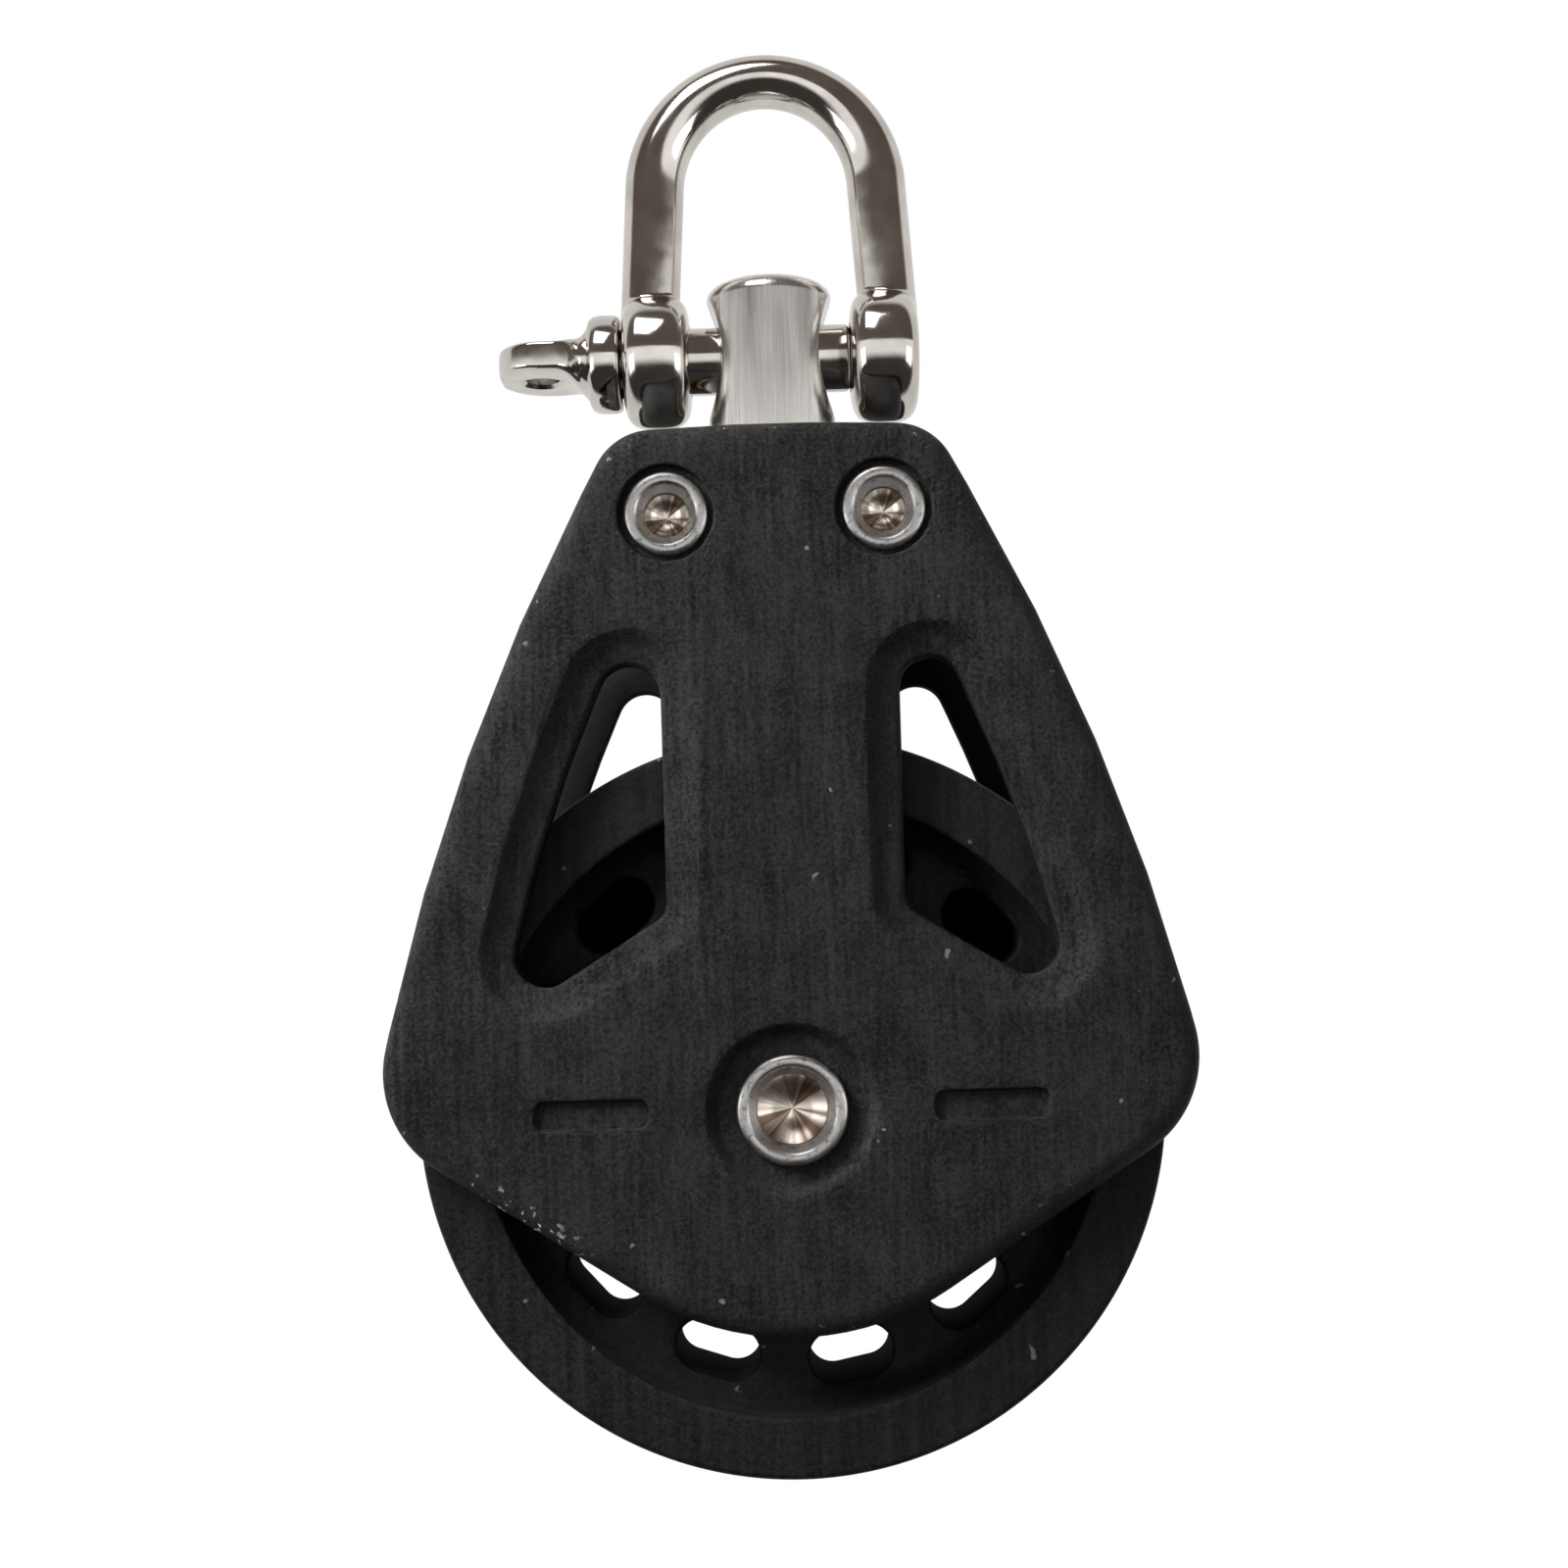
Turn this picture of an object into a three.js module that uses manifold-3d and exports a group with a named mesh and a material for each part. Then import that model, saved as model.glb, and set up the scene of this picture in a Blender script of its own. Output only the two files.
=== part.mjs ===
// A single ball-bearing sheave block: two pressed cheeks round a grooved sheave, a head block that
// carries a swivel post, and a screw-pin shackle on the post.
// Millimetres, +Z up. The front cheek faces -Y and the shackle pin lies along X.
// Pieces are drawn about the axle's centre. The whole block is then lowered, so that the origin is
// the inside of the shackle's crown, the point that the block hangs from.
import * as THREE from "three";
import { mergeVertices } from "three/addons/utils/BufferGeometryUtils.js";
import Module from "manifold-3d";

const wasm = await Module();
wasm.setup();

// Fits
const RUNNING_GAP = 0.3; // round pieces of one body
const CHORD_ERROR = 0.07; // how far a facet may lie from its arc
const LARGEST_STEP = THREE.MathUtils.degToRad(30);
const CUT_REACH = 40; // past every piece that a cutter goes through

// Facets round a turned piece
const HOLLOW_SEGMENTS = 60;
const FINE_SEGMENTS = 36;
const RING_SEGMENTS = 32;
const COARSE_SEGMENTS = 24;
const RIVET_SEGMENTS = 18;
const DRILL_SEGMENTS = 20;

// Sheave
const SHEAVE_RADIUS = 28.5;
const SHEAVE_HALF_WIDTH = 7.7;
const SHEAVE_SEGMENTS = 48;
const FLANGE_INNER_RADIUS = 23.7;
const WEB_HALF_THICKNESS = 4.5;
const WEB_OUTER_RADIUS = 21.5;
const WEB_INNER_RADIUS = 16.8;
const SHEAVE_BOSS_RADIUS = 15.9;
const SHEAVE_BOSS_HALF_WIDTH = 7.0;
const RACE_RADIUS = 12.7;
const GROOVE_ROOT_RADIUS = 24;
const GROOVE_ARC_RADIUS = 5.5; // a 10 mm line beds in it
const SLOT_COUNT = 12;
const SLOT_CENTRE_RADIUS = 20;
const SLOT_LENGTH = 6.6;
const SLOT_WIDTH = 4;
const SLOT_PHASE = THREE.MathUtils.degToRad(-78.4);

// Bearing: two full rows of balls between the sheave's race and a fixed hub
const BALL_RADIUS = 2.38;
const BALLS_PER_ROW = 13;
const BALL_PITCH_RADIUS = 10.2;
const BALL_ROW_Y = 2.7;
const HUB_RADIUS = 7.7;
const HUB_HALF_LENGTH = 7.2;
const HUB_WASHER_RADIUS = 11;
const RETAINER_INNER_RADIUS = 8.2;
const RETAINER_INNER_Y = 5.3;
const RETAINER_OUTER_Y = 6.8;

// Cheeks
const CHEEK_INNER_Y = 8.9;
const CHEEK_OUTER_Y = 10.9;
const PRESSED_DEPTH = 0.8;
const DISH_WIDTH = 2.6; // the pressed band round each window
const DIMPLE_RADIUS = 6.5;
const BADGE_DEPTH = 0.5;
const BADGE_LENGTH = 8.5;
const BADGE_HEIGHT = 2.15;
const BADGE_X = 15;

// Right half of the cheek, as corners [x, z, corner radius] from the foot to the head.
const CHEEK_FOOT = [0, -21.3, 21.2];
const CHEEK_HALF = [
  [31.9, -0.5, 8.5],
  [24.9, 27.6, 168],
  [12, 51.2, 4.8],
];
const CHEEK_HEAD = [0, 51.75, 180];

// The right-hand window, counterclockwise, as corners [x, z, corner radius].
const WINDOW = [
  [9, 42.2, 2.35],
  [9, 14.9, 1.8],
  [21.85, 7, 2.3],
  [17.73, 22.99, 110],
];
// The rear cheek's window is the same at its head and side, and stops short of the web's slots.
const REAR_WINDOW = [
  [9, 42.2, 2.35],
  [9, 19.2, 1.8],
  [18.66, 19, 1.8],
  [16.07, 26.64, 110],
];

// Head block and rivets
const HEAD_BLOCK_HALF = [
  [12.8, 36.6, 3],
  [13.6, 44.5, 6],
  [10.6, 51.2, 2.5],
];
const HEAD_RIVET_X = 8.15;
const HEAD_RIVET_Z = 44.85;
const RIVET_HEAD_Y = 10.85; // just below the cheek's face
const HEAD_RIVET = { shank: 2.5, head: 3.22, seat: 10.3, bore: 1.8, boreFloor: 9.4, coneDepth: 0.8 };
const AXLE_RIVET = { shank: 3.5, head: 4.28, seat: 10.1, bore: 2.68, boreFloor: 9.1, coneDepth: 1.2 };
const RIVET_COUNTERBORE_RADIUS = 3.6;

// Swivel
const BUSH_INNER_RADIUS = 3.6;
const BUSH_OUTER_RADIUS = 4.4;
const BUSH_FLANGE_RADIUS = 5.2;
const BUSH_FLANGE_THICKNESS = 0.8;
const HEAD_TOP_Z = 51.2;
const NUT_POCKET_RADIUS = 6.5;
const NUT_POCKET_Z = 41.4;
const POST_RADIUS = 5.05;
const POST_FOOT_Z = 51.5;
const POST_TOP_Z = 64.8;
const POST_WAIST = 3.83; // half the width left between the two hollow sides
const POST_HOLLOW_RADIUS = 10.2;
const SWIVEL_SHANK_RADIUS = 3.3;
const THREAD_RADIUS = 2.7;
const WASHER_TOP_Z = 41.2;
const THRUST_WASHER_RADIUS = 6;
const NUT_CORNER_RADIUS = 5.6;
const NUT_TOP_Z = 40.4;
const NUT_FOOT_Z = 37.3;
const SHANK_END_Z = 36.9;

// Shackle
const PIN_Z = 59;
const PIN_RADIUS = 2.6;
const PIN_CLEARANCE = 0.15;
const PIN_THREAD_RADIUS = 2.35;
const PIN_THREAD_X = 6.5; // the thread lies inside the right-hand lug
const PIN_END_X = 11.5;
const LUG_INNER_X = 6.35;
const LUG_OUTER_X = 11.75;
const LUG_RADIUS = 5.15;
const BOW_RADIUS = 8.85; // centreline of the crown
const BOW_CENTRE_Z = 72.35;
const BOW_SPREAD = THREE.MathUtils.degToRad(3.6); // each leg leans out by this much
const LEG_FOOT_Z = PIN_Z + 4; // inside the lug, above the pin's collar
const BOW_THICKNESS = 3.9; // in the bow's plane
const BOW_DEPTH = 4.6; // across it
const CROWN_INSIDE_Z = BOW_CENTRE_Z + BOW_RADIUS - BOW_THICKNESS / 2;
const COLLAR_RADIUS = 3.8;
const COLLAR_OUTER_X = -14.46;
const COLLAR_INNER_X = -11.85;
const TAB_END_X = -21.6;
const TAB_HALF_WIDTH = 4.4;
const TAB_THICKNESS = 2.3;
const TAB_TOP_Z = PIN_Z + 0.95;
const TAB_HOLE_X = -18.2;
const TAB_HOLE_RADIUS = 1.375;

const polishedSteel = new THREE.MeshStandardMaterial({ color: 0xb9b2ab, roughness: 0.16, metalness: 1 });
const brushedSteel = new THREE.MeshStandardMaterial({ color: 0xc4c0ba, roughness: 0.34, metalness: 1 });
const blackAluminium = new THREE.MeshStandardMaterial({ color: 0x1c1c1d, roughness: 0.55, metalness: 0.4 });
const blackComposite = new THREE.MeshStandardMaterial({ color: 0x161616, roughness: 0.6, metalness: 0 });
const whiteAcetal = new THREE.MeshStandardMaterial({ color: 0xe9e7e0, roughness: 0.3, metalness: 0 });
const bronze = new THREE.MeshStandardMaterial({ color: 0xa98652, roughness: 0.4, metalness: 1 });

// A three.js geometry as a solid with its faces pointing out.
function solid(geometry) {
  const bare = geometry.clone();
  bare.deleteAttribute("normal");
  bare.deleteAttribute("uv");
  const merged = mergeVertices(bare, 1e-4);
  const corners = [...merged.index.array];
  const faces = [];
  for (let i = 0; i < corners.length; i += 3) {
    const [a, b, c] = corners.slice(i, i + 3);
    if (a !== b && b !== c && c !== a) faces.push([a, b, c]);
  }
  const vertProperties = merged.attributes.position.array;
  const make = (list) =>
    new wasm.Manifold(new wasm.Mesh({ numProp: 3, vertProperties, triVerts: new Uint32Array(list.flat()) }));
  const made = make(faces);
  return made.volume() > 0 ? made : make(faces.map(([a, b, c]) => [a, c, b]));
}

function named(name, shape, material) {
  const cut = shape.getMesh();
  const geometry = new THREE.BufferGeometry();
  geometry.setAttribute("position", new THREE.BufferAttribute(new Float32Array(cut.vertProperties), 3));
  geometry.setIndex(new THREE.BufferAttribute(new Uint32Array(cut.triVerts), 1));
  geometry.computeVertexNormals();
  const mesh = new THREE.Mesh(geometry, material);
  mesh.name = name;
  return mesh;
}

// A closed outline through corners [x, z, radius], each rounded to its own radius.
function roundedOutline(corners) {
  const points = [];
  corners.forEach(([x, z, radius], i) => {
    const here = new THREE.Vector2(x, z);
    const before = new THREE.Vector2(...corners.at(i - 1)).sub(here).normalize();
    const after = new THREE.Vector2(...corners[(i + 1) % corners.length]).sub(here).normalize();
    const halfAngle = Math.acos(THREE.MathUtils.clamp(before.dot(after), -1, 1)) / 2;
    const centre = before.clone().add(after).setLength(radius / Math.sin(halfAngle)).add(here);
    const reach = radius / Math.tan(halfAngle);
    const start = before.clone().multiplyScalar(reach).add(here).sub(centre).angle();
    const end = after.clone().multiplyScalar(reach).add(here).sub(centre).angle();
    const turn = THREE.MathUtils.euclideanModulo(end - start + Math.PI, 2 * Math.PI) - Math.PI;
    const step = Math.min(LARGEST_STEP, 2 * Math.acos(1 - CHORD_ERROR / radius));
    const steps = Math.max(1, Math.ceil(Math.abs(turn) / step));
    for (let k = 0; k <= steps; k++) {
      const angle = start + (turn * k) / steps;
      points.push(new THREE.Vector2(Math.cos(angle), Math.sin(angle)).multiplyScalar(radius).add(centre));
    }
  });
  return points;
}

const mirrored = (corners) => corners.map(([x, z, radius]) => [-x, z, radius]).reverse();

// The same corners with every edge moved out by distance. The corners run counterclockwise.
function grown(corners, distance) {
  return corners.map(([x, z, radius], i) => {
    const here = new THREE.Vector2(x, z);
    const along = here.clone().sub(new THREE.Vector2(...corners.at(i - 1))).normalize();
    const onward = new THREE.Vector2(...corners[(i + 1) % corners.length]).sub(here).normalize();
    const normalA = new THREE.Vector2(along.y, -along.x);
    const normalB = new THREE.Vector2(onward.y, -onward.x);
    const shift = normalA.clone().add(normalB).multiplyScalar(distance / (1 + normalA.dot(normalB)));
    return [x + shift.x, z + shift.y, radius + distance];
  });
}

// A flat outline in the XZ plane, given a thickness along Y.
function slab(outline, yFrom, yTo) {
  const depth = yTo - yFrom;
  const geometry = new THREE.ExtrudeGeometry(new THREE.Shape(outline), { depth, bevelEnabled: false });
  return solid(geometry.rotateX(Math.PI / 2).translate(0, yTo, 0));
}

// A slab on the front (side -1) or rear (side 1), between two distances from the middle plane.
const sideSlab = (outline, side, inner, outer) =>
  side > 0 ? slab(outline, inner, outer) : slab(outline, -outer, -inner);

const AXES = {
  x: (geometry) => geometry.rotateZ(-Math.PI / 2),
  y: (geometry) => geometry,
  z: (geometry) => geometry.rotateX(Math.PI / 2),
};

// A turned piece. The profile is [radius, distance along the axis] pairs.
function turned(profile, axis, segments, at = [0, 0, 0]) {
  const points = profile.map(([radius, along]) => new THREE.Vector2(radius, along));
  const geometry = new THREE.LatheGeometry(points, segments);
  return solid(AXES[axis](geometry).translate(...at));
}

const rod = (radius, from, to) => [[0, from], [radius, from], [radius, to], [0, to]];

const ring = (inner, outer, from, to) => [
  [inner, from],
  [outer, from],
  [outer, to],
  [inner, to],
  [inner, from],
];

// The rod of a round cutter whose flats, not its corners, keep the stated radius.
const roundCutter = (radius, from, to) => rod(radius / Math.cos(Math.PI / DRILL_SEGMENTS), from, to);

// A round cutter that goes right through the block along an axis.
function drill(radius, axis, at = [0, 0, 0]) {
  return turned(roundCutter(radius, -CUT_REACH, CUT_REACH), axis, DRILL_SEGMENTS, at);
}

function capsule(length, width) {
  const corners = [[-length, -width], [length, -width], [length, width], [-length, width]];
  return roundedOutline(corners.map(([x, z]) => [x / 2, z / 2, width / 2 - 1e-3]));
}

function cheekOutline() {
  return roundedOutline([CHEEK_FOOT, ...CHEEK_HALF, CHEEK_HEAD, ...mirrored(CHEEK_HALF)]);
}

function badgeOutline(side) {
  const x = side * BADGE_X;
  const halfLength = BADGE_LENGTH / 2;
  const halfHeight = BADGE_HEIGHT / 2;
  return roundedOutline([
    [x - halfLength, -halfHeight, 0.6],
    [x + halfLength, -halfHeight, 0.6],
    [x + halfLength, halfHeight, 0.6],
    [x - halfLength, halfHeight, 0.6],
  ]);
}

// side is -1 for the front cheek and 1 for the rear one.
function cheek(side) {
  const pressedInner = CHEEK_INNER_Y - PRESSED_DEPTH;
  const pressedOuter = CHEEK_OUTER_Y - PRESSED_DEPTH;
  const beyond = CUT_REACH;
  const window = side < 0 ? WINDOW : REAR_WINDOW;
  let plate = sideSlab(cheekOutline(), side, CHEEK_INNER_Y, CHEEK_OUTER_Y);
  for (const corners of [window, mirrored(window)]) {
    const dish = roundedOutline(grown(corners, DISH_WIDTH));
    plate = plate.add(sideSlab(dish, side, pressedInner, CHEEK_INNER_Y));
    plate = plate.subtract(sideSlab(dish, side, pressedOuter, beyond));
    plate = plate.subtract(sideSlab(roundedOutline(corners), side, 0, beyond));
  }
  const across = (from, to) => (side > 0 ? [from, to] : [-to, -from]);
  plate = plate.add(turned(rod(DIMPLE_RADIUS, ...across(pressedInner, CHEEK_INNER_Y)), "y", RING_SEGMENTS));
  plate = plate.subtract(turned(rod(DIMPLE_RADIUS, ...across(pressedOuter, beyond)), "y", RING_SEGMENTS));
  plate = plate.subtract(drill(AXLE_RIVET.shank + RUNNING_GAP, "y"));
  for (const way of [-1, 1]) {
    const at = [way * HEAD_RIVET_X, 0, HEAD_RIVET_Z];
    const counterbore = rod(RIVET_COUNTERBORE_RADIUS, ...across(HEAD_RIVET.seat, beyond));
    plate = plate.subtract(turned(counterbore, "y", COARSE_SEGMENTS, at));
    plate = plate.subtract(drill(HEAD_RIVET.shank + RUNNING_GAP, "y", at));
    plate = plate.subtract(sideSlab(badgeOutline(way), side, CHEEK_OUTER_Y - BADGE_DEPTH, beyond));
  }
  return plate;
}

function headBlock() {
  const outline = roundedOutline([...HEAD_BLOCK_HALF, ...mirrored(HEAD_BLOCK_HALF)]);
  const flangeFoot = HEAD_TOP_Z - BUSH_FLANGE_THICKNESS;
  const bore = (radius, from, to) => turned(roundCutter(radius, from, to), "z", DRILL_SEGMENTS);
  let block = slab(outline, -CHEEK_INNER_Y, CHEEK_INNER_Y);
  block = block.subtract(bore(BUSH_OUTER_RADIUS + RUNNING_GAP, 0, 2 * CUT_REACH));
  block = block.subtract(bore(BUSH_FLANGE_RADIUS + RUNNING_GAP, flangeFoot, 2 * CUT_REACH));
  block = block.subtract(bore(NUT_POCKET_RADIUS, 0, NUT_POCKET_Z));
  for (const way of [-1, 1]) {
    const at = [way * HEAD_RIVET_X, 0, HEAD_RIVET_Z];
    block = block.subtract(drill(HEAD_RIVET.shank + RUNNING_GAP, "y", at));
  }
  return block;
}

// A rod with a drilled end, whose rim is rolled over into a head, at each end.
function rivet({ shank, head, seat, bore, boreFloor, coneDepth }, at) {
  const rim = 0.3;
  const half = [
    [0, boreFloor - coneDepth],
    [bore, boreFloor],
    [bore, RIVET_HEAD_Y - rim],
    [bore + rim, RIVET_HEAD_Y],
    [head - rim, RIVET_HEAD_Y],
    [head, RIVET_HEAD_Y - rim],
    [head, seat],
    [shank, seat],
  ];
  const otherHalf = half.map(([radius, along]) => [radius, -along]).reverse();
  return turned([...half, ...otherHalf], "y", RIVET_SEGMENTS, at);
}

// Half the sheave's section, from the race to the root of the rope groove.
function sheaveHalfProfile() {
  const hollow = [];
  for (let k = 0; k <= 2; k++) {
    const angle = (k * Math.PI) / 4;
    const radius = WEB_OUTER_RADIUS + (FLANGE_INNER_RADIUS - WEB_OUTER_RADIUS) * Math.sin(angle);
    const along = WEB_HALF_THICKNESS + (SHEAVE_HALF_WIDTH - WEB_HALF_THICKNESS) * (1 - Math.cos(angle));
    hollow.push([radius, along]);
  }
  const groove = [72, 36].map((degrees) => {
    const angle = THREE.MathUtils.degToRad(degrees);
    const centre = GROOVE_ROOT_RADIUS + GROOVE_ARC_RADIUS;
    return [centre - GROOVE_ARC_RADIUS * Math.cos(angle), GROOVE_ARC_RADIUS * Math.sin(angle)];
  });
  const lip = 0.5;
  return [
    [RACE_RADIUS, SHEAVE_BOSS_HALF_WIDTH],
    [SHEAVE_BOSS_RADIUS, SHEAVE_BOSS_HALF_WIDTH],
    [WEB_INNER_RADIUS, WEB_HALF_THICKNESS],
    ...hollow,
    [SHEAVE_RADIUS - lip, SHEAVE_HALF_WIDTH],
    [SHEAVE_RADIUS, SHEAVE_HALF_WIDTH - 2 * lip],
    ...groove,
  ];
}

function sheave() {
  const half = sheaveHalfProfile();
  const root = [GROOVE_ROOT_RADIUS, 0];
  const otherHalf = half.map(([radius, along]) => [radius, -along]).reverse();
  let wheel = turned([...half, root, ...otherHalf, half[0]], "y", SHEAVE_SEGMENTS);
  for (let k = 0; k < SLOT_COUNT; k++) {
    const angle = SLOT_PHASE + (k * 2 * Math.PI) / SLOT_COUNT;
    const centre = new THREE.Vector2(Math.cos(angle), Math.sin(angle)).multiplyScalar(SLOT_CENTRE_RADIUS);
    const outline = capsule(SLOT_LENGTH, SLOT_WIDTH).map((point) =>
      point.rotateAround(new THREE.Vector2(), angle + Math.PI / 2).add(centre),
    );
    wheel = wheel.subtract(slab(outline, -SHEAVE_HALF_WIDTH, SHEAVE_HALF_WIDTH));
  }
  return wheel;
}

function ball(index, side) {
  const angle = (index * 2 * Math.PI) / BALLS_PER_ROW;
  const geometry = new THREE.IcosahedronGeometry(BALL_RADIUS, 1);
  const x = BALL_PITCH_RADIUS * Math.cos(angle);
  const z = BALL_PITCH_RADIUS * Math.sin(angle);
  return solid(geometry.translate(x, side * BALL_ROW_Y, z));
}

function swivelPost() {
  const profile = [
    [0, SHANK_END_Z],
    [THREAD_RADIUS - 0.4, SHANK_END_Z],
    [THREAD_RADIUS, SHANK_END_Z + 0.4],
    [THREAD_RADIUS, WASHER_TOP_Z],
    [SWIVEL_SHANK_RADIUS, WASHER_TOP_Z],
    [SWIVEL_SHANK_RADIUS, POST_FOOT_Z],
    [POST_RADIUS, POST_FOOT_Z],
    [POST_RADIUS, POST_TOP_Z - 1],
    [POST_RADIUS - 0.6, POST_TOP_Z - 0.35],
    [POST_RADIUS - 2.3, POST_TOP_Z],
    [0, POST_TOP_Z],
  ];
  let post = turned(profile, "z", FINE_SEGMENTS);
  for (const way of [-1, 1]) {
    const at = [way * (POST_WAIST + POST_HOLLOW_RADIUS), 0, PIN_Z];
    const hollow = rod(POST_HOLLOW_RADIUS, -CUT_REACH, CUT_REACH);
    post = post.subtract(turned(hollow, "y", HOLLOW_SEGMENTS, at));
  }
  return post.subtract(drill(PIN_RADIUS + PIN_CLEARANCE, "x", [0, 0, PIN_Z]));
}

function swivelBush() {
  const foot = NUT_POCKET_Z + 0.2;
  const flangeFoot = HEAD_TOP_Z - BUSH_FLANGE_THICKNESS;
  const profile = [
    [BUSH_INNER_RADIUS, foot],
    [BUSH_OUTER_RADIUS, foot],
    [BUSH_OUTER_RADIUS, flangeFoot],
    [BUSH_FLANGE_RADIUS, flangeFoot],
    [BUSH_FLANGE_RADIUS, HEAD_TOP_Z],
    [BUSH_INNER_RADIUS, HEAD_TOP_Z],
    [BUSH_INNER_RADIUS, foot],
  ];
  return turned(profile, "z", COARSE_SEGMENTS);
}

function swivelNut() {
  const hexagon = turned(rod(NUT_CORNER_RADIUS, NUT_FOOT_Z, NUT_TOP_Z), "z", 6);
  const bore = roundCutter(THREAD_RADIUS + RUNNING_GAP, 0, 2 * CUT_REACH);
  return hexagon.subtract(turned(bore, "z", DRILL_SEGMENTS));
}

// The bow's centreline: a straight leg, the round crown and the other leg, from left to right.
class BowLine extends THREE.Curve {
  getPoint(t) {
    const arcLength = BOW_RADIUS * (Math.PI - 2 * BOW_SPREAD);
    const tangentZ = BOW_CENTRE_Z + BOW_RADIUS * Math.sin(BOW_SPREAD);
    const legLength = (tangentZ - LEG_FOOT_Z) / Math.cos(BOW_SPREAD);
    const along = t * (arcLength + 2 * legLength) - legLength;
    const onArc = THREE.MathUtils.clamp(along, 0, arcLength);
    const angle = Math.PI - BOW_SPREAD - onArc / BOW_RADIUS;
    const past = along - onArc;
    const x = BOW_RADIUS * Math.cos(angle) + past * Math.sin(angle);
    const z = BOW_CENTRE_Z + BOW_RADIUS * Math.sin(angle) - past * Math.cos(angle);
    return new THREE.Vector3(x, 0, z);
  }
}

function shackleLug(side) {
  const middle = (LUG_INNER_X + LUG_OUTER_X) / 2;
  const half = (LUG_OUTER_X - LUG_INNER_X) / 2;
  const barrel = [[0, -1], [0.78, -1], [0.93, -0.86], [0.99, -0.5], [1, 0]];
  const otherEnd = barrel.slice(0, -1).map(([radius, along]) => [radius, -along]).reverse();
  const profile = [...barrel, ...otherEnd].map(([radius, along]) => [radius * LUG_RADIUS, along * half]);
  return turned(profile, "x", RING_SEGMENTS, [side * middle, 0, PIN_Z]);
}

function shackleBow() {
  const section = new THREE.Shape();
  section.absellipse(0, 0, BOW_DEPTH / 2, BOW_THICKNESS / 2, 0, 2 * Math.PI);
  const sweep = { steps: 26, curveSegments: 6, bevelEnabled: false, extrudePath: new BowLine() };
  let bow = solid(new THREE.ExtrudeGeometry(section, sweep));
  bow = bow.add(shackleLug(-1)).add(shackleLug(1));
  return bow.subtract(drill(PIN_RADIUS + PIN_CLEARANCE, "x", [0, 0, PIN_Z]));
}

function shacklePin() {
  const body = [
    [0, TAB_HOLE_X + TAB_HOLE_RADIUS + 0.3],
    [0.95, TAB_HOLE_X + TAB_HOLE_RADIUS + 0.3],
    [2.1, COLLAR_OUTER_X - 1.3],
    [3, COLLAR_OUTER_X],
    [COLLAR_RADIUS - 0.4, COLLAR_OUTER_X],
    [COLLAR_RADIUS, COLLAR_OUTER_X + 0.5],
    [COLLAR_RADIUS, COLLAR_INNER_X - 0.3],
    [COLLAR_RADIUS - 0.3, COLLAR_INNER_X],
    [PIN_RADIUS, COLLAR_INNER_X],
    [PIN_RADIUS, PIN_THREAD_X - 0.2],
    [PIN_THREAD_RADIUS, PIN_THREAD_X],
    [PIN_THREAD_RADIUS, PIN_END_X - 0.5],
    [PIN_THREAD_RADIUS - 0.5, PIN_END_X],
    [0, PIN_END_X],
  ];
  const outline = new THREE.Shape(
    roundedOutline([
      [TAB_END_X, -TAB_HALF_WIDTH, 3.2],
      [COLLAR_OUTER_X - 0.6, -TAB_HALF_WIDTH * 0.55, 0.5],
      [COLLAR_OUTER_X - 0.6, TAB_HALF_WIDTH * 0.55, 0.5],
      [TAB_END_X, TAB_HALF_WIDTH, 3.2],
    ]),
  );
  const tab = new THREE.ExtrudeGeometry(outline, { depth: TAB_THICKNESS, bevelEnabled: false });
  tab.translate(0, 0, TAB_TOP_Z - TAB_THICKNESS);
  const pin = turned(body, "x", COARSE_SEGMENTS, [0, 0, PIN_Z]).add(solid(tab));
  return pin.subtract(drill(TAB_HOLE_RADIUS, "z", [TAB_HOLE_X, 0, PIN_Z]));
}

const block = new THREE.Group();
block.name = "single_sheave_block";
block.position.z = -CROWN_INSIDE_Z;

block.add(named("shackle_bow", shackleBow(), polishedSteel));
block.add(named("shackle_pin", shacklePin(), polishedSteel));
block.add(named("swivel_post", swivelPost(), brushedSteel));
block.add(named("swivel_bush", swivelBush(), bronze));
block.add(named("swivel_nut", swivelNut(), brushedSteel));
const thrustWasher = ring(THREAD_RADIUS + RUNNING_GAP, THRUST_WASHER_RADIUS, NUT_TOP_Z, WASHER_TOP_Z);
block.add(named("swivel_thrust_washer", turned(thrustWasher, "z", COARSE_SEGMENTS), bronze));
block.add(named("head_block", headBlock(), blackComposite));
for (const [name, way] of [["left", -1], ["right", 1]]) {
  const at = [way * HEAD_RIVET_X, 0, HEAD_RIVET_Z];
  block.add(named(name + "_head_rivet", rivet(HEAD_RIVET, at), brushedSteel));
}
block.add(named("axle_rivet", rivet(AXLE_RIVET, [0, 0, 0]), brushedSteel));
const hub = ring(AXLE_RIVET.shank + RUNNING_GAP, HUB_RADIUS, -HUB_HALF_LENGTH, HUB_HALF_LENGTH);
block.add(named("bearing_hub", turned(hub, "y", RING_SEGMENTS), blackComposite));
block.add(named("sheave", sheave(), blackAluminium));
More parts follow.
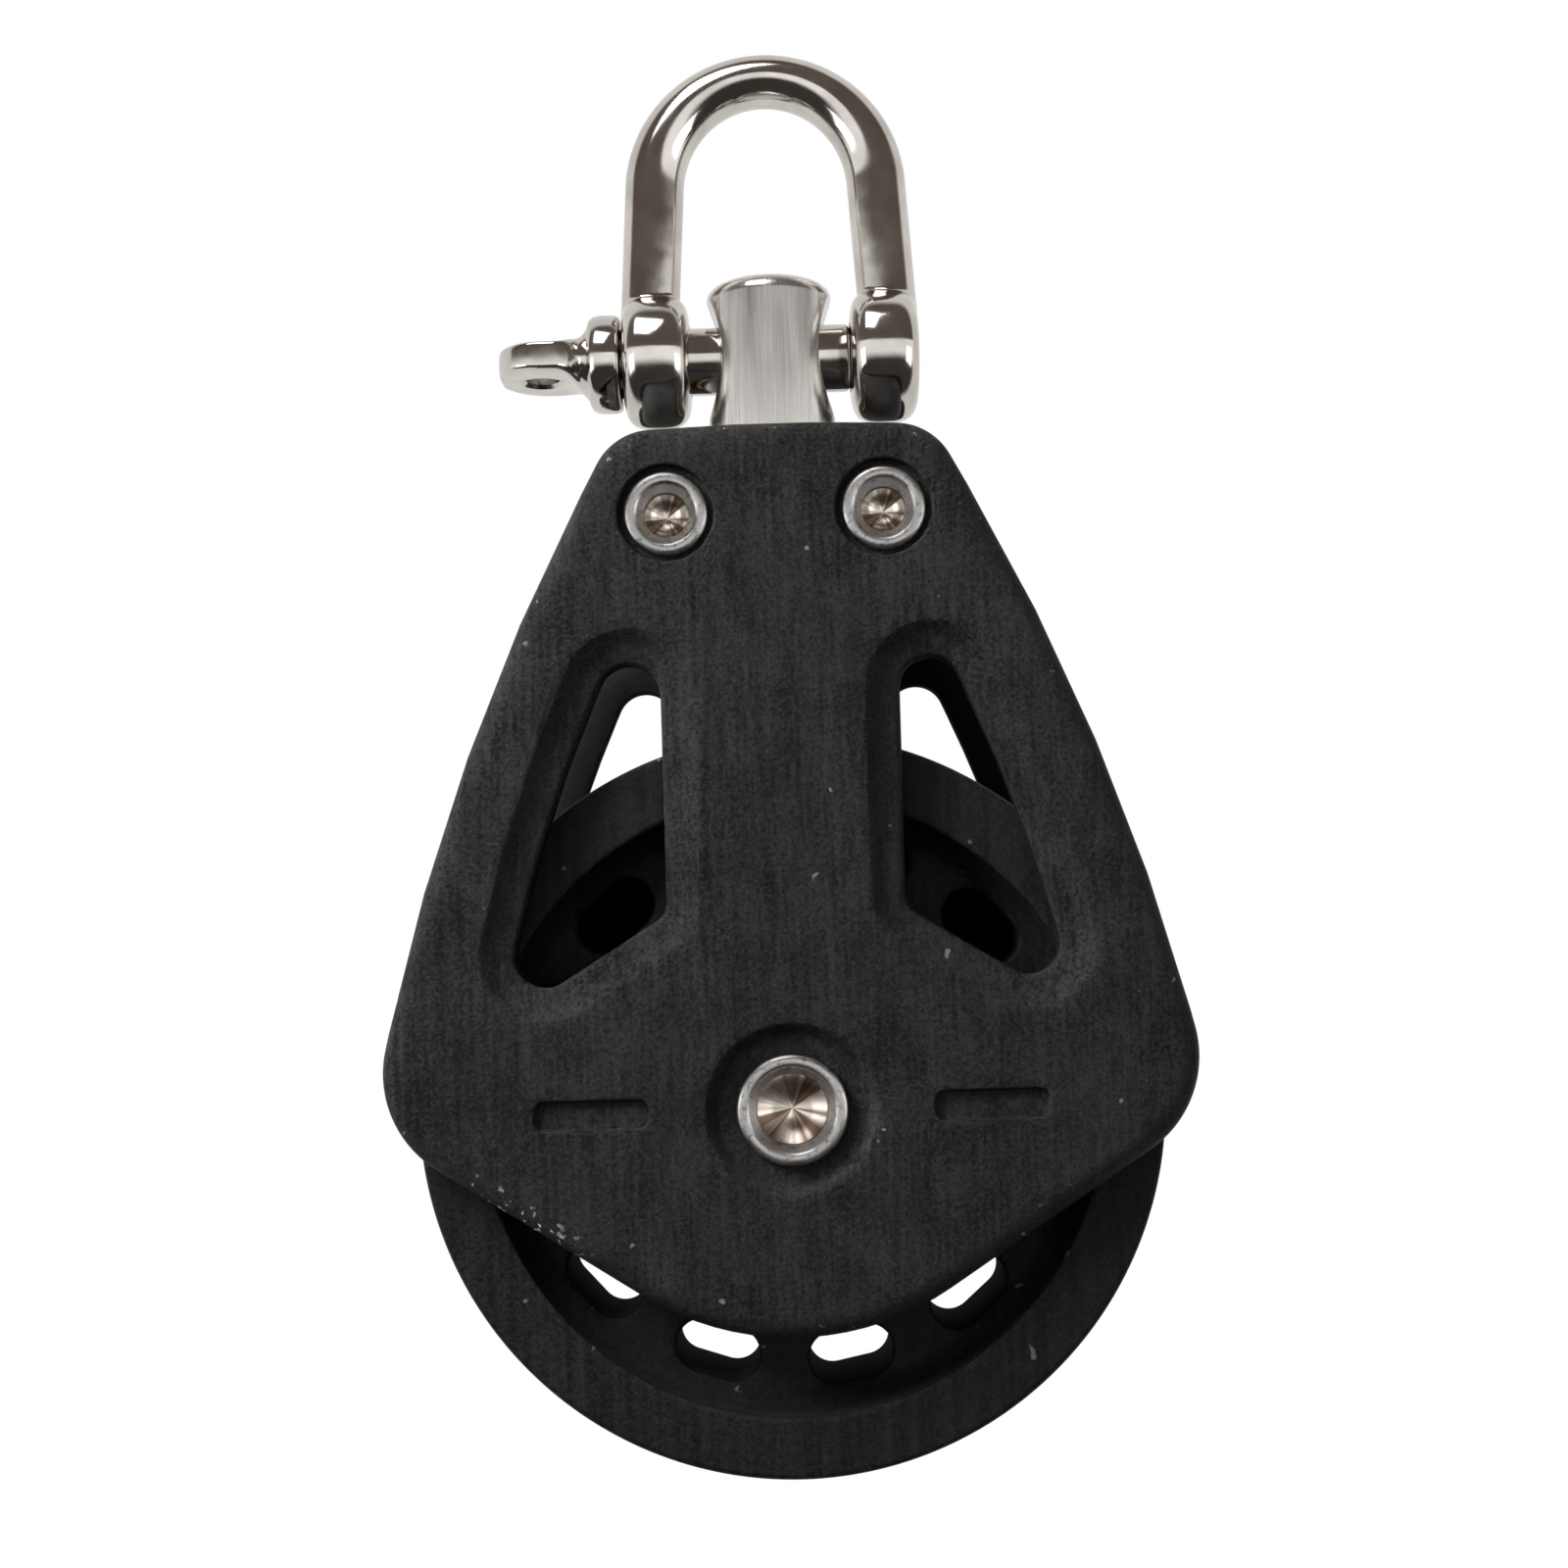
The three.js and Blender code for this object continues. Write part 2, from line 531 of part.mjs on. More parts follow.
for (const [name, side] of [["front", -1], ["rear", 1]]) {
  const between = (inner, outer) => (side > 0 ? [inner, outer] : [-outer, -inner]);
  const washerSpan = between(HUB_HALF_LENGTH, CHEEK_INNER_Y - PRESSED_DEPTH);
  const washer = ring(AXLE_RIVET.shank + RUNNING_GAP, HUB_WASHER_RADIUS, ...washerSpan);
  const retainerSpan = between(RETAINER_INNER_Y, RETAINER_OUTER_Y);
  const retainer = ring(RETAINER_INNER_RADIUS, RACE_RADIUS - RUNNING_GAP, ...retainerSpan);
  block.add(named(name + "_cheek", cheek(side), blackAluminium));
  block.add(named(name + "_hub_washer", turned(washer, "y", RING_SEGMENTS), blackComposite));
  block.add(named(name + "_ball_retainer", turned(retainer, "y", RING_SEGMENTS), blackComposite));
  for (let index = 0; index < BALLS_PER_ROW; index++) {
    const number = String(index + 1).padStart(2, "0");
    block.add(named(name + "_ball_" + number, ball(index, side), whiteAcetal));
  }
}

export default block;
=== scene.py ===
"""Looks of the single sheave block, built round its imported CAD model.

Pieces are drawn in millimetres about the axle's centre, with +X to the right, +Z up and the front
cheek towards -Y, and turned into metres in the row frame as each mesh is made.
"""

from math import acos, atan2, ceil, copysign, cos, hypot, pi, radians, sin, sqrt, tan, tau
from math import degrees as to_degrees

import bmesh
import bpy
from mathutils import Matrix, Vector
from mathutils.geometry import delaunay_2d_cdt


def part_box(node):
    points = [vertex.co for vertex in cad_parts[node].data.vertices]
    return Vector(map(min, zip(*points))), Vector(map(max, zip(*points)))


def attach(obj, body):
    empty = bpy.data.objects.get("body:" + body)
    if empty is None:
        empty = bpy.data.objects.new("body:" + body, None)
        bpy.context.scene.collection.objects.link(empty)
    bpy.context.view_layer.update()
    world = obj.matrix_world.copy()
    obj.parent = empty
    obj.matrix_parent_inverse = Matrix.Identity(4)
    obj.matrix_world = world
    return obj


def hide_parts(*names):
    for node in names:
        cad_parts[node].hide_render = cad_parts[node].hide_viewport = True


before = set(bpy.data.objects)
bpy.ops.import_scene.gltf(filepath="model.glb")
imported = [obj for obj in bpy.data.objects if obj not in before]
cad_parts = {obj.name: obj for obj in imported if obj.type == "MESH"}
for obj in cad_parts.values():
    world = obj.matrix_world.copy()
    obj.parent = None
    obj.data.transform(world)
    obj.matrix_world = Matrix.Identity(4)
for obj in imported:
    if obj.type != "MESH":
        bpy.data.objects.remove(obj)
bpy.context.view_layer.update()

MM = 0.001


def middle(node):
    low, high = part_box(node)
    return (low + high) / 2


def span(node):
    """Lowest and highest corner of a CAD node, in millimetres about the axle."""
    low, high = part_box(node)
    return (low - AXLE) / MM, (high - AXLE) / MM


AXLE = middle("sheave")

# Driving sizes, read from the frame
SHEAVE_RADIUS, SHEAVE_HALF_WIDTH = span("sheave")[1].xy
CHEEK_OUTER = span("rear_cheek")[1].y
CHEEK_INNER, HEAD_TOP = span("head_block")[1].yz
RIVET_X = (middle("right_head_rivet") - AXLE).x / MM
RIVET_Z = (middle("right_head_rivet") - AXLE).z / MM
HEAD_RIVET_RADIUS = span("right_head_rivet")[1].x - RIVET_X
AXLE_RIVET_RADIUS, RIVET_HEAD_Y = span("axle_rivet")[1].xy
HUB_RADIUS, HUB_HALF_LENGTH = span("bearing_hub")[1].xy
HUB_WASHER_RADIUS = span("rear_hub_washer")[1].x
RETAINER_SPAN = [corner.y for corner in span("rear_ball_retainer")]
RETAINER_RADIUS = span("rear_ball_retainer")[1].x
POST_RADIUS, POST_TOP = span("swivel_post")[1].yz
PIN_Z = (middle("shackle_pin") - AXLE).z / MM
PIN_LEFT, PIN_RIGHT = [corner.x for corner in span("shackle_pin")]
BOW_RIGHT, LUG_RADIUS = span("shackle_bow")[1].xy
BALL_RADIUS = (span("front_ball_01")[1].y - span("front_ball_01")[0].y) / 2

# Sheave
WEB_HALF_THICKNESS = 4.5
WEB_INNER_RADIUS = 16.8
WEB_OUTER_RADIUS = 21.5
FLANGE_INNER_RADIUS = 23.7
WEB_EDGE_RADIUS = 23.3  # where the web's surface is handed over to the turned rim
BOSS_RADIUS = 15.9
BOSS_HALF_WIDTH = 7.0
RACE_RADIUS = 12.7
GROOVE_ROOT = 24.0
GROOVE_ARC = 5.5
EDGE_ROUNDING = 0.45  # at the slots and at the rim
SLOT_COUNT = 12
SLOT_CENTRE_RADIUS = 20
SLOT_LENGTH = 6.6
SLOT_WIDTH = 4
SLOT_PHASE = radians(-78.4)
SHEAVE_SEGMENTS = 240
RETAINER_BORE = 8.2

# Cheek, as corners (x, z, corner radius) of its right half from foot to head
CHEEK_FOOT = (0, -21.3, 21.2)
CHEEK_HALF = [(31.9, -0.5, 8.5), (24.9, 27.6, 168), (12, 51.2, 4.8)]
CHEEK_HEAD = (0, 51.75, 180)
WINDOW = [(9, 42.2, 2.35), (9, 14.9, 1.8), (21.85, 7, 2.3), (17.73, 22.99, 110)]
REAR_WINDOW = [(9, 42.2, 2.35), (9, 19.2, 1.8), (18.66, 19, 1.8), (16.07, 26.64, 110)]
PRESSED_DEPTH = 0.8
BADGE_X = 15
BADGE_LENGTH = 8.5
BADGE_HEIGHT = 2.15
RIVET_HOLE = 2.8
AXLE_HOLE = 3.8
CHIPPED_CORNER = (-21, -8)  # x and z of the middle of the chips at the lower left
CHIPPED_RADIUS = 6.5

# Rivets, as radius of the shank, radius of the bore and distance from the middle to under the rim
HEAD_RIVET = (2.5, 1.66, 10.3)
AXLE_RIVET = (3.5, 2.68, 10.1)

# Head block and the swivel in it, with heights over the axle
HEAD_BLOCK_HALF = [(12.8, 36.6, 3), (13.6, 44.5, 6), (10.6, HEAD_TOP, 2.5)]
BUSH_BORE = 3.6
BUSH_RADIUS = 4.4
BUSH_FLANGE_RADIUS = 5.2
BUSH_FOOT_Z = 41.6
BUSH_SHOULDER_Z = 50.4
NUT_HALF_FLAT = 4.85
NUT_HALF_CORNER = 5.6
NUT_THREAD = 3.0
THRUST_WASHER = (3.0, 6.0, 40.4, 41.2)  # inner and outer radius, foot and top
POST_FOOT_Z = 52
POST_WAIST = 3.83
POST_HOLLOW = 10.2
HOLLOW_BLEND = 0.22

# Shackle
PIN_RADIUS = 2.6
PIN_CLEARANCE = 0.15
THREAD_RADIUS = 2.35
THREAD_ROOT = 2.05
THREAD_PITCH = 0.8
THREAD_X = 6.5
LUG_X = 9.05
LUG_HALF_WIDTH = BOW_RIGHT - LUG_X
LUG_CROWNING = 3.2  # exponents of the lug's section along the pin and across it
LUG_ROUNDING = 6.0
BOW_RADIUS = 8.85
BOW_CENTRE_Z = 72.35
BOW_SPREAD = radians(3.6)
LEG_HALF_WIDTH = 2.33
CROWN_HALF_WIDTH = 1.95
BOW_HALF_DEPTH = 2.3
COLLAR_OUTER, COLLAR_INNER = -14.46, -11.85
COLLAR_RADIUS = 3.8
TAB_HALF_WIDTH = 4.4
TAB_HALF_THICKNESS = 1.15
TAB_Z = PIN_Z - 0.2
TAB_HOLE_X = -18.2
TAB_HOLE_RADIUS = 1.375
TAB_ROUNDING = 3.4
NECK_START = -16.9

# Camera, lights and room
LENS = 47.7
SENSOR = 36
CAMERA_SHIFT = (-0.0034, 0.097)
EYE = (0.15, -CHEEK_OUTER - 155, 13)  # millimetres about the axle
LEAN = radians(-1.7)
LIGHT_AIM = (0, 0, 0.02)
ROOM = 3  # half the room's width, in metres
FLOOR_Z = -0.3


# ---------------------------------------------------------------- outlines

def unit(a, b):
    length = hypot(b[0] - a[0], b[1] - a[1])
    return (b[0] - a[0]) / length, (b[1] - a[1]) / length


def fillet(before, corner, after, degrees):
    """Points of the arc that rounds a corner (u, v, radius)."""
    u, v, radius = corner
    if radius <= 0:
        return [(u, v)]
    a, b = unit(corner, before), unit(corner, after)
    half = acos(max(-1, min(1, a[0] * b[0] + a[1] * b[1]))) / 2
    bisector = (a[0] + b[0], a[1] + b[1])
    reach = radius / sin(half) / hypot(*bisector)
    centre = (u + bisector[0] * reach, v + bisector[1] * reach)
    tangent = radius / tan(half)
    start = atan2(v + a[1] * tangent - centre[1], u + a[0] * tangent - centre[0])
    end = atan2(v + b[1] * tangent - centre[1], u + b[0] * tangent - centre[0])
    turn = (end - start + pi) % (tau) - pi
    steps = max(3, ceil(abs(to_degrees(turn)) / degrees))
    arc = [start + turn * k / steps for k in range(steps + 1)]
    return [(centre[0] + radius * cos(t), centre[1] + radius * sin(t)) for t in arc]


def outline(corners, degrees=6, closed=True):
    """A polyline through corners (u, v, radius), each rounded to its own radius."""
    points = []
    for i, corner in enumerate(corners):
        if not closed and i in (0, len(corners) - 1):
            points.append(corner[:2])
        else:
            points += fillet(corners[i - 1], corner, corners[(i + 1) % len(corners)], degrees)
    return points


def mirrored(corners):
    return [(-x, z, radius) for x, z, radius in reversed(corners)]


def grown(corners, distance):
    """The same counterclockwise corners with every edge moved out by distance."""
    result = []
    for i, (x, z, radius) in enumerate(corners):
        along = unit(corners[i - 1], (x, z))
        onward = unit((x, z), corners[(i + 1) % len(corners)])
        normal_a, normal_b = (along[1], -along[0]), (onward[1], -onward[0])
        scale = distance / (1 + normal_a[0] * normal_b[0] + normal_a[1] * normal_b[1])
        x_out = x + (normal_a[0] + normal_b[0]) * scale
        z_out = z + (normal_a[1] + normal_b[1]) * scale
        result.append((x_out, z_out, radius + distance))
    return result


def angles(count):
    return [tau * k / count for k in range(count)]


def shares(count):
    """Even steps up to 1, without 0."""
    return [k / count for k in range(1, count + 1)]


def circle(radius, count=96, centre=(0, 0)):
    return [(centre[0] + radius * cos(t), centre[1] + radius * sin(t)) for t in angles(count)]


def box_corners(x, z, length, height, radius):
    u, v = length / 2, height / 2
    signs = [(-1, -1), (1, -1), (1, 1), (-1, 1)]
    return [(x + a * u, z + b * v, radius) for a, b in signs]


def inside(point, loop):
    found = False
    x, z = point
    for (ax, az), (bx, bz) in zip(loop, loop[1:] + loop[:1]):
        if (az > z) != (bz > z) and x < (bx - ax) * (z - az) / (bz - az) + ax:
            found = not found
    return found


def smooth_step(low, high, value):
    t = max(0.0, min(1.0, (value - low) / (high - low)))
    return t * t * (3 - 2 * t)


# ---------------------------------------------------------------- meshes

class Shell:
    """A mesh made of rings of points, with a wear value at each point."""

    def __init__(self):
        self.points = []
        self.faces = []
        self.wear = []
        self.kinds = []

    def ring(self, points, wear=0.0):
        first = len(self.points)
        self.points += [tuple(p) for p in points]
        self.wear += [wear] * (len(self.points) - first)
        return list(range(first, len(self.points)))

    def face(self, indices, kind=0):
        self.faces.append(tuple(indices))
        self.kinds.append(kind)

    def band(self, a, b, kind=0):
        if len(a) == 1 or len(b) == 1:
            pole, ring = (a[0], b) if len(a) == 1 else (b[0], a)
            for i in range(len(ring)):
                self.face((pole, ring[i - 1], ring[i]), kind)
            return
        for i in range(len(a)):
            self.face((a[i - 1], a[i], b[i], b[i - 1]), kind)

    def bands(self, rings, kind=0):
        for a, b in zip(rings, rings[1:]):
            self.band(a, b, kind)

    def fill(self, loops, extra=(), kind=0):
        """Triangles between the first loop and the others, all seen along Y."""
        order = [i for loop in loops for i in loop] + list(extra)
        flat = [Vector((self.points[i][0], self.points[i][2])) for i in order]
        edges, first = [], 0
        for loop in loops:
            edges += [(first + k, first + (k + 1) % len(loop)) for k in range(len(loop))]
            first += len(loop)
        places, _, triangles, source, _, _ = delaunay_2d_cdt(flat, edges, [], 0, 1e-6)
        paths = [[(self.points[i][0], self.points[i][2]) for i in loop] for loop in loops]
        for triangle in triangles:
            centre = sum((places[i] for i in triangle), Vector((0, 0))) / 3
            if sum(inside(centre, path) for path in paths) == 1:
                self.face([order[source[i][0]] for i in triangle], kind)

    def turned(self, axis, radius, along, at=(0, 0, 0), segments=96, wear=0.0):
        """A ring round an axis, or one point where the radius is nothing."""
        count = segments if radius > 1e-6 else 1
        return self.ring([around(axis, radius, along, at, k, count) for k in range(count)], wear)

    def turn(self, profile, axis, at=(0, 0, 0), segments=96, closed=False, kinds=None):
        """A turned surface. The profile is (radius, distance along the axis) pairs."""
        rings = [self.turned(axis, radius, along, at, segments) for radius, along in profile]
        if closed:
            rings.append(rings[0])
        for k, (a, b) in enumerate(zip(rings, rings[1:])):
            self.band(a, b, kinds[k] if kinds else 0)

    def build(self, name, materials, sharp=35):
        mesh = bpy.data.meshes.new(name)
        places = [AXLE + Vector(p) * MM for p in self.points]
        mesh.from_pydata(places, [], self.faces)
        wear = mesh.attributes.new("wear", "FLOAT", "POINT")
        wear.data.foreach_set("value", self.wear)
        for material in materials:
            mesh.materials.append(material)
        mesh.polygons.foreach_set("material_index", self.kinds)
        piece = bpy.data.objects.new(name, mesh)
        bpy.context.scene.collection.objects.link(piece)
        tidy_mesh(piece, sharp)
        return piece


def around(axis, radius, along, at, k, segments):
    angle = tau * k / segments
    u, v = radius * cos(angle), radius * sin(angle)
    x, y, z = at
    if axis == "x":
        return x + along, y + u, z + v
    if axis == "y":
        return x + u, y + along, z + v
    return x + u, y + v, z + along


def tidy_mesh(piece, sharp):
    """Faces out, smooth shading, and edges sharper than the angle kept crisp."""
    work = bmesh.new()
    work.from_mesh(piece.data)
    bmesh.ops.remove_doubles(work, verts=work.verts, dist=1e-7)
    bmesh.ops.recalc_face_normals(work, faces=work.faces)
    for face in work.faces:
        face.smooth = True
    for edge in work.edges:
        if len(edge.link_faces) == 2:
            edge.smooth = edge.calc_face_angle(0) < radians(sharp)
    work.to_mesh(piece.data)
    work.free()


def cut(piece, tools, sharp):
    """Takes the tools' shapes out of a piece and applies the result."""
    for tool in tools:
        modifier = piece.modifiers.new("cut", "BOOLEAN")
        modifier.operation = "DIFFERENCE"
        modifier.solver = "EXACT"
        modifier.object = tool
    graph = bpy.context.evaluated_depsgraph_get()
    made = bpy.data.meshes.new_from_object(piece.evaluated_get(graph))
    piece.modifiers.clear()
    piece.data = made
    for tool in tools:
        bpy.data.objects.remove(tool)
    tidy_mesh(piece, sharp)


def cutter(profile, axis, at, material, segments=96):
    shell = Shell()
    shell.turn(profile, axis, at, segments)
    return shell.build("cutter", [material])


def drill(radius, axis, at, material, segments=96):
    """A cutter for a straight hole right through."""
    return cutter([(0, -20), (radius, -20), (radius, 20), (0, 20)], axis, at, material, segments)


def bore_for_pin(piece, material):
    cut(piece, [drill(PIN_RADIUS + PIN_CLEARANCE, "x", (0, 0, PIN_Z), material)], 50)


def place(piece, body, node):
    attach(piece, body)
    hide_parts(node)


# ---------------------------------------------------------------- materials

def mix_colours(tree, factor, a, b):
    """A mix of two colours, each a tuple or the output of a node."""
    node = tree.nodes.new("ShaderNodeMix")
    node.data_type = "RGBA"
    tree.links.new(factor, node.inputs["Factor"])
    for socket, value in ((node.inputs["A"], a), (node.inputs["B"], b)):
        if isinstance(value, tuple):
            socket.default_value = (*value, 1)
        else:
            tree.links.new(value, socket)
    return node.outputs["Result"]


class Nodes:
    """A material's node tree, written as short calls."""

    def __init__(self, name):
        self.material = bpy.data.materials.new(name)
        self.material.use_nodes = True
        self.tree = self.material.node_tree
        self.shader = self.tree.nodes["Principled BSDF"]
        coordinates = self.add("ShaderNodeTexCoord")
        self.place = coordinates.outputs["Object"]
        self.generated = coordinates.outputs["Generated"]

    def add(self, kind, **settings):
        node = self.tree.nodes.new(kind)
        for key, value in settings.items():
            setattr(node, key, value)
        return node

    def link(self, source, target):
        self.tree.links.new(source, target)

    def noise(self, scale, detail=2.0, stretch=(1, 1, 1), roughness=0.5, shift=(0, 0, 0)):
        mapping = self.add("ShaderNodeMapping")
        mapping.inputs["Scale"].default_value = stretch
        mapping.inputs["Location"].default_value = shift
        self.link(self.place, mapping.inputs["Vector"])
        noise = self.add("ShaderNodeTexNoise")
        noise.inputs["Scale"].default_value = scale
        noise.inputs["Detail"].default_value = detail
        noise.inputs["Roughness"].default_value = roughness
        self.link(mapping.outputs["Vector"], noise.inputs["Vector"])
        return noise.outputs["Fac"]

    def remap(self, source, low, high, to_low=0.0, to_high=1.0):
        node = self.add("ShaderNodeMapRange")
        values = {"From Min": low, "From Max": high, "To Min": to_low, "To Max": to_high}
        for key, value in values.items():
            node.inputs[key].default_value = value
        self.link(source, node.inputs["Value"])
        return node.outputs["Result"]

    def math(self, operation, a, b=None):
        node = self.add("ShaderNodeMath", operation=operation)
        for socket, value in zip(node.inputs, (a, b)):
            if isinstance(value, (int, float)):
                socket.default_value = value
            elif value is not None:
                self.link(value, socket)
        return node.outputs["Value"]

    def weighted(self, *terms):
        """The sum of (source, weight) pairs."""
        parts = [self.math("MULTIPLY", source, weight) for source, weight in terms]
        total = parts[0]
        for part in parts[1:]:
            total = self.math("ADD", total, part)
        return total

    def mix(self, factor, a, b):
        return mix_colours(self.tree, factor, a, b)

    def dusty(self, colour, shift, share):
        """A colour with pale specks of dust."""
        specks = self.remap(self.noise(700, 1, shift=shift), 0.8, 0.82)
        return self.mix(self.math("MULTIPLY", specks, share), colour, (0.16, 0.16, 0.15))

    def bump(self, height, distance, strength=1.0, after=None):
        node = self.add("ShaderNodeBump")
        node.inputs["Distance"].default_value = distance
        node.inputs["Strength"].default_value = strength
        self.link(height, node.inputs["Height"])
        if after is not None:
            self.link(after, node.inputs["Normal"])
        return node.outputs["Normal"]

    def attribute(self, name):
        return self.add("ShaderNodeAttribute", attribute_name=name).outputs["Fac"]

    def axis(self, name):
        split = self.add("ShaderNodeSeparateXYZ")
        self.link(self.place, split.inputs["Vector"])
        return split.outputs[name]

    def distance(self, x=0, z=0):
        """Distance from the line along Y through (x, z), in millimetres about the axle."""
        across = self.math("SUBTRACT", self.axis("X"), AXLE.x + x * MM)
        up = self.math("SUBTRACT", self.axis("Z"), AXLE.z + z * MM)
        squares = [self.math("MULTIPLY", part, part) for part in (across, up)]
        return self.math("SQRT", self.math("ADD", *squares))

    def finish(self, colour, roughness, normal=None, metallic=None, specular=None):
        sockets = {
            "Base Color": colour, "Roughness": roughness, "Normal": normal,
            "Metallic": metallic, "Specular IOR Level": specular,
        }
        for key, value in sockets.items():
            if isinstance(value, (int, float)):
                self.shader.inputs[key].default_value = value
            elif value is not None:
                self.link(value, self.shader.inputs[key])
        return self.material


def black_cheek():
    """Blasted and hard-anodised plate: fine grain, faint upright streaks, dust specks, worn edges."""
    n = Nodes("black_anodised_plate")
    grain = n.noise(3600, 4, roughness=0.7)
    mottle = n.noise(240, 3)
    streaks = n.noise(2600, 2, stretch=(1, 1, 0.06))
    tone = n.weighted((grain, 0.62), (streaks, 0.22), (mottle, 0.16))
    colour = n.mix(n.remap(tone, 0.41, 0.6), (0.002, 0.002, 0.0021), (0.0165, 0.0163, 0.0158))
    colour = n.dusty(colour, (3, 1, 7), 0.55)
    reach = CHIPPED_RADIUS * MM
    corner = n.remap(n.distance(*CHIPPED_CORNER), reach * 0.35, reach, 1.0, 0.0)
    chips = n.math("MULTIPLY", n.remap(n.noise(1900, 2), 0.63, 0.66), corner)
    rubbed = n.math("MULTIPLY", n.remap(n.noise(900, 3, shift=(5, 2, 0)), 0.7, 0.74), 0.3)
    bare = n.math("MULTIPLY", n.math("MAXIMUM", chips, rubbed), n.attribute("wear"))
    colour = n.mix(bare, colour, (0.55, 0.54, 0.52))
    roughness = n.remap(grain, 0.3, 0.7, 0.4, 0.56)
    normal = n.bump(grain, 0.0002, 0.8, n.bump(streaks, 0.00005, 0.25))
    return n.finish(colour, roughness, normal, specular=0.12)


def black_sheave():
    """Turned and anodised: rings round the axle on its flat sides, brushed lines up the rim."""
    n = Nodes("black_anodised_turned")
    grain = n.noise(3600, 4, roughness=0.65)
    rings = n.add("ShaderNodeTexNoise", noise_dimensions="1D")
    rings.inputs["Scale"].default_value = 5200
    rings.inputs["Detail"].default_value = 2
    n.link(n.distance(), rings.inputs["W"])
    streaks = n.noise(2000, 3, stretch=(1, 1, 0.06), shift=(1, 0, 2))
    tone = n.weighted((grain, 0.57), (streaks, 0.3), (rings.outputs["Fac"], 0.13))
    colour = n.mix(n.remap(tone, 0.4, 0.6), (0.002, 0.002, 0.0021), (0.0105, 0.0104, 0.01))
    colour = n.dusty(colour, (2, 5, 1), 0.4)
    rubbed = n.math("MULTIPLY", n.remap(n.noise(900, 2), 0.7, 0.74), n.attribute("wear"))
    colour = n.mix(n.math("MULTIPLY", rubbed, 0.4), colour, (0.4, 0.39, 0.37))
    roughness = n.remap(grain, 0.3, 0.7, 0.42, 0.56)
    normal = n.bump(rings.outputs["Fac"], 0.00004, 0.3, n.bump(grain, 0.00018, 0.7))
    return n.finish(colour, roughness, normal, specular=0.12)


def matt_black_painted_shade():
    """Milled walls and the cheeks' inner faces, where the anodising is duller, with painted shade: a darker
    black than the plate's own, for the shade in the slots and holes and between the parts.
    """
    n = Nodes("black_slot_wall_shaded")
    grain = n.noise(3000, 3)
    # Painted shade: this black is darker than the plate's and the sheave's own black.
    colour = n.mix(grain, (0.002, 0.002, 0.002), (0.008, 0.008, 0.008))
    return n.finish(colour, 0.9, n.bump(grain, 0.00008, 0.6), specular=0.03)


def black_composite():
    """Moulded glass-filled composite, a little mottled."""
    n = Nodes("black_composite")
    grain = n.noise(3500, 4, roughness=0.6)
    cloud = n.noise(400, 2)
    colour = n.mix(n.remap(cloud, 0.35, 0.65), (0.005, 0.005, 0.0055), (0.011, 0.011, 0.011))
    roughness = n.remap(grain, 0.3, 0.7, 0.48, 0.64)
    return n.finish(colour, roughness, n.bump(grain, 0.00006, 0.5), specular=0.3)


def polished_steel():
    """Tumble-polished stainless: slight waves and a few faint scuffs."""
    n = Nodes("polished_stainless")
    waves = n.noise(300, 2)
    cloud = n.noise(520, 3, stretch=(1, 1, 0.5), shift=(4, 0, 1))
    scuffs = n.noise(2500, 3, stretch=(1, 1, 0.15))
    colour = n.mix(n.remap(waves, 0.35, 0.65), (0.56, 0.53, 0.5), (0.7, 0.67, 0.635))
    roughness = n.remap(cloud, 0.35, 0.68, 0.08, 0.16)
    normal = n.bump(waves, 0.0001, 0.15, n.bump(scuffs, 0.00002, 0.2))
    return n.finish(colour, roughness, normal, 1.0)


def brushed_steel():
    """Satin stainless, brushed up and down."""
    n = Nodes("brushed_stainless")
    lines = n.noise(5200, 3, stretch=(1, 1, 0.03))
    cloud = n.noise(420, 2, stretch=(1, 1, 0.25))
    colour = n.mix(n.remap(lines, 0.3, 0.7), (0.7, 0.68, 0.66), (0.86, 0.845, 0.825))
    roughness = n.remap(cloud, 0.35, 0.65, 0.16, 0.28)
    return n.finish(colour, roughness, n.bump(lines, 0.00003, 0.35), 1.0)


def rivet_steel():
    """Cut and rolled rim: small pits and burnish marks."""
    n = Nodes("rivet_rim")
    pits = n.noise(2600, 3, roughness=0.6)
    cloud = n.noise(700, 2)
    colour = n.mix(n.remap(pits, 0.3, 0.45), (0.2, 0.195, 0.19), (0.52, 0.515, 0.51))
    roughness = n.remap(cloud, 0.35, 0.65, 0.28, 0.42)
    return n.finish(colour, roughness, n.bump(pits, 0.00004, 0.25), 1.0)


